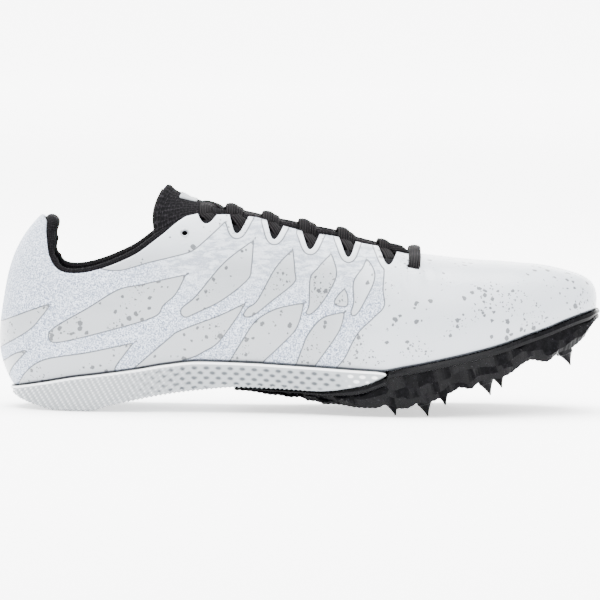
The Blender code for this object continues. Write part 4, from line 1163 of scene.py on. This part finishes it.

# %% [markdown]
# ## The wedge's body
# One ring of points goes from the top over the rim, down the side band and round the underside. It is
# carried along the outline of the foot, on both sides at once, and shrinks to nothing at the nose.
# How far each point stands out is stored, and the foam's colour follows it: rims and knobs get a
# painted highlight, and dents painted shade.

# %% Wedge mesh
# Its underside: shares of the length, and heights as shares of the heel's stack
WEDGE_BOTTOM = (
    (0.0200, 0.400), (0.0400, 0.250), (0.0614, 0.130), (0.0980, 0.000), (0.1500, 0.000), (0.1900, 0.187),
    (0.2320, 0.349), (0.2755, 0.500), (0.3320, 0.639), (0.4027, 0.745), (0.4630, 0.729),
    (0.5280, 0.705), (0.6036, 0.886), (0.6400, 1.127),
)
WEDGE_START, WEDGE_NOSE = 0.0245, 0.6440
NOSE_ROUND = 0.0160        # share of the length over which the nose is rounded
RIM_OUT = 2.0 * MM
TOOTH_PITCH, TOOTH_DEEP = 2.2 * MM, 0.90 * MM
TEETH_TO = 0.46            # share of the length up to which the lower edge is toothed
WEDGE_STEP = 0.55 * MM     # length of a face along the outline
SIDE_POINTS = 30


def wedge_z(share):
    return curve(WEDGE_BOTTOM, share) * HEEL_STACK


def wedge_rings(side, u):
    """Half a ring of the wedge at rows u, from its top to its underside, with how far each point stands
    out as a fourth value."""
    share = np.minimum(sections(u)["at"], WEDGE_NOSE)
    nose = np.sqrt(1 - np.clip((share - WEDGE_NOSE + NOSE_ROUND) / NOSE_ROUND, 0, 1) ** 2)
    top = floor_z(share) - GAP
    low = wedge_z(share)
    middle = top * 0.52 + low * 0.48
    top, low = middle + (top - middle) * nose, middle + (low - middle) * nose
    line, normal = foot_line(u, side), foot_normal(u, side)
    run = np.concatenate([[0], np.cumsum(np.linalg.norm(np.diff(line, axis=0), axis=1))])
    saw = np.abs((run / TOOTH_PITCH) % 1 - 0.5) * 2 * TOOTH_DEEP
    toothed = 1 - smooth((share - TEETH_TO) / 0.08)
    high = top - low
    way = np.linspace(0, 1, SIDE_POINTS)
    down = way[None] * high[:, None]
    rim = smooth((RIM_HIGH - down) / (0.5 * MM))
    out = 1.1 * MM * (1 - way[None]) ** 1.2 + 0.6 * MM + (RIM_OUT - 1.7 * MM) * rim
    edge = smooth((1 - way[None]) * high[:, None] / (0.7 * MM))
    relief = dent_relief(line[:, :1], down, high[:, None]) * (1 - rim) * nose[:, None]
    out = out - 0.7 * MM * (1 - edge) + relief
    z = top[:, None] - down + (saw * toothed)[:, None] * smooth((way[None] - 0.75) / 0.25)
    plan = line[:, None] + normal[:, None] * out[..., None]
    band = np.concatenate([plan, z[..., None]], -1)
    rim_in = np.concatenate([line + normal * (0.9 * MM), top[:, None]], -1)
    deep = np.concatenate([line - normal * (3.0 * MM), top[:, None]], -1)
    under = np.concatenate([line - normal * (2.5 * MM), (low + saw * toothed * 0.6)[:, None]], -1)
    inner = np.concatenate([line - normal * (7.5 * MM), low[:, None]], -1)
    shade = np.zeros((len(u), len(way) + 4))
    shade[:, 2:-2] = relief / MM + 0.5 * rim
    ring = np.concatenate([deep[:, None], rim_in[:, None], band, under[:, None], inner[:, None]], axis=1)
    return np.concatenate([ring, shade[..., None]], axis=-1)


fine_rows = np.linspace(float(row_at_foot(WEDGE_START)), float(row_at_foot(WEDGE_NOSE)), 4001)
foot_run = np.linalg.norm(np.diff(foot_line(fine_rows, OUTER), axis=0), axis=1)
wedge_u = spaced(fine_rows, foot_run, WEDGE_STEP)
outer_band, inner_band = (wedge_rings(side, wedge_u) for side in (OUTER, INNER))
wedge_grid = np.concatenate([outer_band, inner_band[:, ::-1]], axis=1)
foam, tree, shader = new_material("moulded_eva_foam", "989C9F", 0.55)
stands_out = add_node(tree, "ShaderNodeAttribute", attribute_name="relief").outputs["Fac"]
place = add_node(tree, "ShaderNodeTexCoord").outputs["Object"]
pores = add_node(tree, "ShaderNodeTexNoise", {"Vector": place, "Scale": 1400.0, "Detail": 2.0}).outputs["Fac"]
# Painted shade in the dents and a painted highlight on the rim and knobs, by how far each point stands out
foam_colour = blend(tree, between(tree, stands_out, -0.75, 0.0), "4A4F54", "8B8F92")
foam_colour = blend(tree, between(tree, stands_out, 0.05, 0.48), foam_colour, "DFE1E2")
tree.links.new(foam_colour, shader.inputs["Base Color"])
raise_surface(tree, shader, pores, 0.08, 0.5)
wedge_grid = capped(wedge_grid)
wedge = add_piece("foam_wedge", wedge_grid[..., :3], grid_faces(*wedge_grid.shape[:2], closed=True), foam,
                  marks={"relief": wedge_grid[..., 3]})
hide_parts("wedge")

# %% [markdown]
# ## Spike plate
# The plate is injected nylon: glossy, black and cut in hard facets, with a smooth rand along its top,
# recesses below it and a ragged lower edge. The edge's teeth are all different, so they are read off
# the photo as a table; a second one gives the underside, which lies a little higher.

# %% Lower edge of the plate
# Shares of the length, and heights as shares of the toe spring
PLATE_EDGE = (
    (0.3900, 0.222), (0.4280, 0.199), (0.4460, 0.186), (0.4640, 0.187), (0.4800, 0.168), (0.5015, 0.161),
    (0.5110, 0.138), (0.5250, 0.143), (0.5420, 0.104), (0.5567, 0.107), (0.6020, 0.0915), (0.6270, 0.094),
    (0.6470, 0.133), (0.6620, 0.092), (0.6780, 0.094), (0.6970, 0.145), (0.7130, 0.150), (0.7270, 0.177),
    (0.7540, 0.2445), (0.7666, 0.286), (0.7825, 0.274), (0.7976, 0.342), (0.8250, 0.372), (0.8460, 0.4155),
    (0.8710, 0.513), (0.8860, 0.549), (0.9080, 0.531), (0.9306, 0.604), (0.9500, 0.640), (0.9716, 0.725),
    (0.9790, 0.790), (0.9920, 0.900),
)
PLATE_UNDER = (
    (0.390, 0.232), (0.460, 0.205), (0.530, 0.175), (0.600, 0.148), (0.660, 0.142), (0.700, 0.168),
    (0.750, 0.252), (0.800, 0.352), (0.850, 0.452), (0.900, 0.556), (0.950, 0.685), (0.980, 0.800),
    (0.993, 0.910),
)
print("plate's lowest place:", round(min(height for _, height in PLATE_EDGE) * TOE_SPRING, 4))

# %% [markdown]
# ## The plate's facets
# Faceted means flat shaded: each small face keeps its own direction, so the gloss breaks up as it does
# on the real plate. The facets come from chance values that change every few stations; a fixed seed
# gives the same ones each time. Towards the toe they calm down.

# %% Plate mesh
PLATE_START, PLATE_END = 0.3920, 0.9960
FACET_PITCH = 1.3 * MM
FLARE_FROM, FLARE_OVER = 0.50, 0.14    # shares of the length over which the plate spreads to the ball
FLARE_OUT, FLARE_IN = 1.4 * MM, 2.2 * MM       # how far it stands out at the ball, and in at the waist
RAND_HIGH, RAND_SHARE = 3.2 * MM, 0.36         # height of the rand, at most, and its share of the side
RAGGED = 0.35 * MM         # how far every second station of the lower edge hangs down
CALM_FROM, CALM_OVER = 0.915, 0.03     # shares of the length over which the facets calm down
FACET_IN, FACET_OUT = -2.4, 0.3        # how far a facet may stand in or out, in millimetres
chance = np.random.default_rng(7)


def stepped(count, group, low, high):
    """A chance value for each group of stations, with a straight run from one group to the next."""
    marks = np.arange(0, count + group, group)
    return np.interp(np.arange(count), marks, chance.uniform(low, high, len(marks)))


def plate_band(side, u):
    """One side of the plate at rows u: its top, smooth rand, groove, rows of chance facets, its ragged
    lower edge and its underside."""
    share = sections(u)["at"]
    count = len(u)
    under_wedge = share < WEDGE_NOSE
    top = np.where(under_wedge, np.minimum(wedge_z(share), floor_z(share)), floor_z(share)) - GAP
    edge = np.minimum(curve(PLATE_EDGE, share) * TOE_SPRING, top - 1.0 * MM)
    under = np.minimum(curve(PLATE_UNDER, share) * TOE_SPRING, top - 0.8 * MM)
    odd = np.arange(count) % 2
    edge = edge - RAGGED * odd + stepped(count, 5, -0.5, 0.5) * MM
    flare = smooth((share - FLARE_FROM) / FLARE_OVER)
    out = FLARE_OUT * flare - FLARE_IN * (1 - flare)
    high = top - edge
    rand = np.minimum(RAND_SHARE * high, RAND_HIGH)
    calm = 1 - 0.85 * smooth((share - CALM_FROM) / CALM_OVER)
    first, second, third = (stepped(count, group, FACET_IN, FACET_OUT) * MM * calm for group in (4, 3, 5))
    level_1, level_2 = (0.40 + stepped(count, 4, -0.14, 0.14)), (0.72 + stepped(count, 3, -0.10, 0.12))
    levels = (
        (-6.0 * MM, 0 * high), (out - 0.2 * MM, 0 * high), (out + 0.5 * MM, 0.5 * rand),
        (out + 0.3 * MM, rand), (out - 1.3 * MM, rand + 0.35 * MM),
        (out + first, rand + (high - rand) * level_1),
        (out + 0.3 * MM + second, rand + (high - rand) * level_2), (out - 0.8 * MM + 0.4 * third, high),
        (out - 4.5 * MM, high * 0.9),
    )
    line, normal = foot_line(u, side), foot_normal(u, side)
    rows = [np.concatenate([line + normal * np.broadcast_to(o, count)[:, None], (top - d)[:, None]], -1)
            for o, d in levels]
    rows.append(np.concatenate([line - normal * (9.0 * MM), under[:, None]], -1))
    return np.stack(rows, axis=1)


fine_rows = np.linspace(float(row_at_foot(PLATE_START)), float(row_at_foot(PLATE_END)), 4001)
foot_run = np.linalg.norm(np.diff(foot_line(fine_rows, OUTER), axis=0), axis=1)
plate_u = spaced(fine_rows, foot_run, FACET_PITCH)
plate_grid = np.concatenate([plate_band(OUTER, plate_u), plate_band(INNER, plate_u)[:, ::-1]], axis=1)
# Injected nylon: black, with a shine that is broken by faint flow marks and a skin-fine grain
nylon, tree, shader = new_material("glossy_nylon", "030304", 0.22, Specular_IOR_Level=0.07)
hard_finish(tree, shader, 420.0, "020203", "070709", 0.16, 0.32, 0.05)
plate = closed_rings("nylon_plate", plate_grid, nylon, flat=True)
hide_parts("spike_plate")

# %% [markdown]
# ## Lace
# The lace is a flat braid with five lengthwise ribs. It crosses the throat from each loop to the next
# loop of the other side, comes up steeply out of the notch and bends over the tongue's shoulder, where
# its turns stand up as humps. It is taut, so it has no spare length, and its ends are hidden. A curve
# with a bevel profile would twist where the lace turns; here the ribbed profile is carried along a
# path with the tongue's own direction under it, so that it stays flat on what it lies on.

# %% Ribbed profile of the lace
LACE_WIDE, LACE_THICK = 5.9 * MM, 1.5 * MM
LACE_RIBS = 5
RIB_DEEP = 0.30 * MM
LACE_BOW = 0.6 * MM        # how far the lace's sides bend down


def braid_profile(count=64):
    """Closed profile of the braid: a rounded flat bar whose two faces swell into ribs. across is in
    shares of the half width, and up in shares of the half thickness."""
    turn = np.linspace(0, 2 * math.pi, count, endpoint=False)
    across = np.sign(np.cos(turn)) * np.abs(np.cos(turn)) ** 0.6
    up = np.sign(np.sin(turn)) * np.abs(np.sin(turn)) ** 0.55
    ribs = np.abs(np.cos(across * LACE_RIBS * math.pi / 2))
    return across, up, ribs


def ribbon(line, normal):
    """The braid's profile carried along a line. It lies flat against the normal at each point, and its
    sides bend down a little (by the square of the place across)."""
    run = unit(np.gradient(line, axis=0))
    beside = unit(np.cross(normal, run))
    normal = np.cross(run, beside)
    across, up, ribs = braid_profile()
    thick = (LACE_THICK / 2 - RIB_DEEP * (1 - ribs)) * up - LACE_BOW * across ** 2
    return (line[:, None] + beside[:, None] * (across * (LACE_WIDE / 2))[:, None]
            + normal[:, None] * thick[:, None])


def strand(start, end, keys, count=90):
    """A strand over the tongue. keys are rows of: share of the strand, share of the way between the
    start and end rows, place across, lift above the tongue in millimetres."""
    w = np.linspace(0, 1, count)
    along, across, lift = (curve(keys, w, column) for column in (1, 2, 3))
    u = start + (end - start) * along
    line = throat_face(u, across) + throat_normal(u, across) * (lift * MM)[:, None]
    return line, throat_normal(u, across)


print("lace:", LACE_RIBS, "ribs on", round(LACE_WIDE / MM, 1), "mm")

# %% [markdown]
# ## Braid
# The ribs' height is stored on the points, and the material lightens the tops of the ribs, where the
# shiny threads catch the light, with a noise that is stretched along the lace as fibres are.

# %% Braid and lace pieces
def tube_faces(grids):
    """Points, faces and cloth lengths of several tubes with closed ends, as for one mesh."""
    points, faces, lengths, offset = [], [], [], 0
    for grid in grids:
        whole = capped(grid)
        points.append(whole.reshape(-1, 3))
        faces.append(grid_faces(*whole.shape[:2], closed=True) + offset)
        lengths.append(cloth_lengths(whole, whole.shape[0] // 2).reshape(-1, 2))
        offset += len(points[-1])
    return np.concatenate(points), np.concatenate(faces), np.concatenate(lengths)


braid, tree, shader = new_material("ribbed_braid", "0A0A0B", 0.75, Specular_IOR_Level=0.04)
cloth = add_node(tree, "ShaderNodeTexCoord").outputs["UV"]
rib = add_node(tree, "ShaderNodeAttribute", attribute_name="rib").outputs["Fac"]
longer = {0: cloth, 1: (0.8, 2.2, 1.0)}
longer = add_node(tree, "ShaderNodeVectorMath", longer, operation="MULTIPLY").outputs["Vector"]
fibre = add_node(tree, "ShaderNodeTexNoise", {"Vector": longer, "Scale": 2.0, "Detail": 2.0}).outputs["Fac"]
lit = maths(tree, "MULTIPLY", between(tree, rib, 0.45, 1.0), between(tree, fibre, 0.30, 0.65))
tree.links.new(blend(tree, lit, "020203", "211F20"), shader.inputs["Base Color"])
raise_surface(tree, shader, fibre, 0.15, 0.6)


def add_lace(name, grids, replaced):
    """One lace piece from several ribbons, with the height of its ribs stored for the material."""
    points, faces, lengths = tube_faces(grids)
    ribs = np.tile(braid_profile()[2], len(points) // len(braid_profile()[2]))
    made = add_piece(name, points, faces, braid, cloth=lengths, marks={"rib": ribs})
    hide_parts(replaced)


print("braid:", len(tree.nodes), "nodes")

# %% [markdown]
# ## Crossings
# A strand is written once, as a few keys, and used ten times: it leaves its notch under the one that
# arrives there, and arrives at the next notch over the one that leaves. It stays straight above the
# notch until it is over the tongue's shoulder, and it crosses the other strand in the middle, where
# one of them rises over the other.

# %% Crossings
# Share of the strand, share of the way to the other row, place across, lift in millimetres
STRAND_KEYS = (
    (0.0, 0.00, -1.30, 0.2), (0.09, 0.00, -1.12, 0.8), (0.17, 0.00, -1.00, 1.2), (0.24, 0.00, -0.88, 1.5),
    (0.31, 0.01, -0.74, 1.4), (0.37, 0.03, -0.58, 0.9), (0.43, 0.16, -0.36, 0.8), (0.50, 0.50, 0.0, 0.8),
    (0.57, 0.84, 0.36, 0.9), (0.63, 0.97, 0.58, 1.8), (0.69, 0.99, 0.74, 3.0), (0.76, 1.00, 0.88, 3.3),
    (0.83, 1.00, 1.00, 2.9), (0.91, 1.00, 1.12, 2.2), (1.0, 1.00, 1.30, 1.1),
)
CROSS_OVER = 1.5           # rise of one strand over the other where they cross, in millimetres
CROSS_HALF = 0.06          # share of the strand over which it rises
FAN = 0.07                 # rows by which the two strands of a notch are set apart
NOTCH_BACK = 0.04          # rows by which the strands run behind their notch's middle
# Share by which a strand lies lower in the middle of the throat, and twice that at the inner side
SIDE_TILT = 0.25
notch_rows = [float(row_at_edge(share)) - NOTCH_BACK for share in NOTCH_SHARES]


def turned_strand(keys, side, over, first, last):
    """The strand that starts at one side; over lifts its middle above the other strand."""
    keys = [(w, along, across * -side, lift * (1 - SIDE_TILT + SIDE_TILT * across * side)
             + over * math.exp(-((w - 0.5) / CROSS_HALF) ** 2))
            for w, along, across, lift in keys]
    return strand(first, last, keys)


for number in range(5):
    first, last = notch_rows[number] + FAN, notch_rows[number + 1] - FAN
    crossing = [ribbon(*turned_strand(STRAND_KEYS, side, over, first, last))
                for side, over in ((OUTER, 0.0), (INNER, CROSS_OVER))]
    add_lace(f"lace_crossing_{number + 1}", crossing, f"lace_cross_{number + 1}")

# %% [markdown]
# ## Front bar
# The foremost turn of the lace is a bar straight across the throat, which goes down through a slot on
# each side. From the sixth notches two strands run forward under it and hold it.

# %% Front bar of the lace
BAR_CROWN = 2.6 * MM
BAR_END = 0.676            # share of the length at which the strands from the last notches end
# The bar in the photo, from inside its slot up to the throat's edge
BAR_PLACES = ((412.3, 272.0), (412.3, 269.0), (412.4, 266.0), (412.8, 262.5), (413.2, 259.0), (413.4, 256.8))
BAR_ABOVE = (-2.6, -0.6, 1.0, 1.3, 1.35, 1.4)      # height over the wall's face in millimetres


def bar_half(side):
    """The bar's line on one side, from its slot up to the edge."""
    places = np.array(BAR_PLACES)
    u, t = look_up(places, np.full(len(places), 16.3), np.linspace(0.75, 0.97, len(places)), side)
    return wall(u, t, side, -np.array(BAR_ABOVE) * MM)


left, right = bar_half(OUTER), bar_half(INNER)
f = np.linspace(0, 1, 7)[1:-1, None]
coarse_line = np.concatenate([left, left[-1] * (1 - f) + right[-1] * f, right[::-1]])
coarse_line[len(left):-len(right), 2] += BAR_CROWN * np.sin(math.pi * f[:, 0]) ** 0.7
line = even_line(coarse_line, 90)
for _ in range(6):
    line[1:-1] = (line[:-2] + 2 * line[1:-1] + line[2:]) / 4
normal = unit(np.cross((1.0, 0, 0), unit(np.gradient(line, axis=0))))
normal = normal * np.where(normal[len(line) // 2, 2] < 0, -1, 1)
FRONT_KEYS = (
    (0.0, 0.00, -1.30, 0.2), (0.14, 0.00, -1.10, 0.8), (0.26, 0.02, -0.98, 1.8), (0.36, 0.10, -0.90, 3.2),
    (0.50, 0.40, -0.86, 4.0), (0.66, 0.72, -0.82, 3.8), (0.80, 0.90, -0.76, 2.8), (0.92, 1.00, -0.70, 1.2),
    (1.0, 1.02, -0.66, -0.2),
)
first, last = notch_rows[5] + FAN, float(row_at_edge(BAR_END))
front = [ribbon(line, normal)]
front += [ribbon(*turned_strand(FRONT_KEYS, side, 0.0, first, last)) for side in (OUTER, INNER)]
add_lace("lace_front_bar", front, "lace_bar")

# %% [markdown]
# ## Webbing loops
# In each notch a loop of narrow webbing comes from under the upper and holds the lace. Only its dark
# weave at the bottom of the notch shows. It is a small patch that lies just inside the wall: a grid of
# places round the notch's lowest point, looked up on the wall and given a thickness.

# %% Loop patches
LOOP_HALF, LOOP_LOW = 7.2, -7          # half width of a loop and its lower end, in pixels of the photo
LOOP_POINTS = 17
LOOP_THICK = 1.0 * MM
webbing, tree, shader = new_material("woven_webbing", "0C0C0E", 0.85, Specular_IOR_Level=0.05)
cloth = add_node(tree, "ShaderNodeTexCoord").outputs["UV"]
threads = [add_node(tree, "ShaderNodeTexWave", {"Vector": cloth, "Scale": 0.42, "Distortion": 0.6},
                    bands_direction=way).outputs["Fac"] for way in ("X", "Y")]
crossed = maths(tree, "MULTIPLY", threads[0], threads[1])
tree.links.new(blend(tree, between(tree, crossed, 0.1, 0.8), "060607", "1E1E21"), shader.inputs["Base Color"])
raise_surface(tree, shader, crossed, 0.25, 0.9)
for number, (heel, low, toe) in enumerate(NOTCHES, 1):
    depth = 10.0 if number == 1 else 16.5
    across, up = np.meshgrid(np.linspace(-LOOP_HALF, LOOP_HALF, LOOP_POINTS),
                             np.linspace(LOOP_LOW, depth * 0.62, LOOP_POINTS), indexing="ij")
    places = np.stack([low[0] + 0.5 + across + 0.1 * up, low[1] - up], -1)
    for side, label in ((OUTER, "outer"), (INNER, "inner")):
        start = np.full(across.shape, notch_rows[number - 1] - 0.2)
        u, t = look_up(places, start, np.full(across.shape, 0.85), side)
        patch = wall(u, t, side, UPPER_WALL + GAP)
        lengths = np.stack([across, up], -1) * PIXEL / MM
        loop = add_piece(f"webbing_{label}_{number}", patch, grid_faces(LOOP_POINTS, LOOP_POINTS), webbing,
                         cloth=lengths, turn=side == OUTER)
        solid = loop.modifiers.new("weave", "SOLIDIFY")
        solid.thickness = LOOP_THICK
        solid.offset = -1
        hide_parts(f"lace_loop_{label}_{number}")

# %% [markdown]
# ## Pins
# Seven short spikes stand in the plate, black like it, with a broad foot and a hollow-flanked cone. Each
# is a round profile turned about its own axis, which leans forward. Its boss widens into the plate.
# Faces that meet at more than a set angle keep a crisp edge, and the rest is shaded smooth.

# %% Spike pins
PIN_LENGTH, PIN_RADIUS, PIN_TIP = 0.00635, 0.0034, 0.0004
BOSS_RADIUS, BOSS_LENGTH = 0.0044, 0.0040
CONE_FOOT, CONE_POWER = 0.92, 1.45     # the cone's foot as a share of the radius, and how hollow it is
CRISP_ANGLE = math.radians(38)
# Tip's place as shares of the length and of half the ball's width, its height as a share of the toe
# spring, and the lean in degrees
PINS = {
    "pin_outer_1": (0.6604, -0.66, 0.000, 15), "pin_outer_2": (0.7138, -0.70, 0.000, 15),
    "pin_outer_3": (0.8175, -0.60, 0.203, 19), "pin_outer_4": (0.9530, -0.10, 0.460, 22),
    "pin_inner_1": (0.7480, 0.64, 0.000, 15), "pin_inner_2": (0.8430, 0.68, 0.175, 19),
    "pin_inner_3": (0.9360, 0.42, 0.505, 22),
}
# Blackened steel: the dark oxide is a little uneven, and the turned cone has a fine grain
pin_black, tree, shader = new_material("blackened_steel", "060607", 0.28, Metallic=0.35,
                                       Specular_IOR_Level=0.1)
hard_finish(tree, shader, 1100.0, "040405", "0D0D0F", 0.22, 0.38, 0.03)
for name, (share, aside, height, lean) in PINS.items():
    angle = math.radians(lean)
    way = np.array([math.sin(angle), 0, -math.cos(angle)])
    tip = np.array([place_x(share), aside * BALL_WIDTH / 2,
                    height * TOE_SPRING + PIN_TIP * math.sin(angle) * (height == 0)])
    down = np.linspace(0, 1, 14)
    cone = PIN_TIP + (PIN_RADIUS * CONE_FOOT - PIN_TIP) * (1 - down) ** CONE_POWER
    profile = ([(BOSS_RADIUS, -BOSS_LENGTH), (PIN_RADIUS + 0.2 * MM, 0), (PIN_RADIUS, GAP + 0.5 * MM)]
               + [(radius, GAP + 0.6 * MM + d * (PIN_LENGTH - 0.6 * MM)) for radius, d in zip(cone, down)])
    seat = tip - way * (PIN_LENGTH + GAP)
    turn = np.linspace(0, 2 * math.pi, 28, endpoint=False)[:, None]
    ring = np.cos(turn) * np.array([0, 1.0, 0]) + np.sin(turn) * np.cross(way, (0, 1.0, 0))
    rings = np.stack([seat + way * d + ring * radius for radius, d in profile])
    pin = closed_rings(f"spike_{name[4:]}", rings, pin_black)
    pin.data.set_sharp_from_angle(angle=CRISP_ANGLE)
    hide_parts(name)

# %% [markdown]
# ## Insole
# The insole is a thin grey cloth-covered foam sheet on the foot's floor. It only shows from above,
# through the collar. It is a row of flat closed profiles with rounded edges.

# %% Insole mesh
INSOLE_WALL, INSOLE_IN = 2.5 * MM, 1.2 * MM     # its thickness, and its distance from the upper's wall
EDGE_ROUND = 0.04          # share of its width over which its edge is rounded
insole_u = np.linspace(1.0, LAST_ROW - 1.0, 150)
left, right = (foot_line(insole_u, side) - foot_normal(insole_u, side) * (UPPER_WALL + INSOLE_IN)
               for side in (OUTER, INNER))
across = np.concatenate([np.linspace(0, EDGE_ROUND, 5), np.linspace(EDGE_ROUND, 1 - EDGE_ROUND, 23)[1:-1],
                         np.linspace(1 - EDGE_ROUND, 1, 5)])
plan = left[:, None] * (1 - across[:, None]) + right[:, None] * across[:, None]
middle = floor_z(share_of(plan[..., 0])) + GAP + INSOLE_WALL / 2
bulge = INSOLE_WALL / 2 * rounded_end(np.minimum(across, 1 - across) / EDGE_ROUND)
low, high = (np.concatenate([plan, (middle + sign * bulge)[..., None]], -1) for sign in (-1, 1))
insole_grid = np.concatenate([low, high[:, ::-1]], axis=1)
# Brushed nylon: crossing threads (drawn at 1.2 mm, coarser than real ones) under an uneven nap
cover, tree, shader = new_material("brushed_nylon_cloth", "3C4046", 0.9)
place = add_node(tree, "ShaderNodeTexCoord").outputs["Object"]
threads = [add_node(tree, "ShaderNodeTexWave", {"Vector": place, "Scale": 262.0, "Distortion": 0.5},
                    bands_direction=way).outputs["Fac"] for way in ("X", "Y")]
nap = add_node(tree, "ShaderNodeTexNoise", {"Vector": place, "Scale": 500.0, "Detail": 2.0}).outputs["Fac"]
raised = maths(tree, "MULTIPLY", maths(tree, "ADD", *threads), nap)
tree.links.new(blend(tree, between(tree, raised, 0.1, 0.9), "303338", "494D54"), shader.inputs["Base Color"])
raise_surface(tree, shader, raised, 0.12, 0.7)
insole = closed_rings("insole_sheet", insole_grid, cover)
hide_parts("insole")
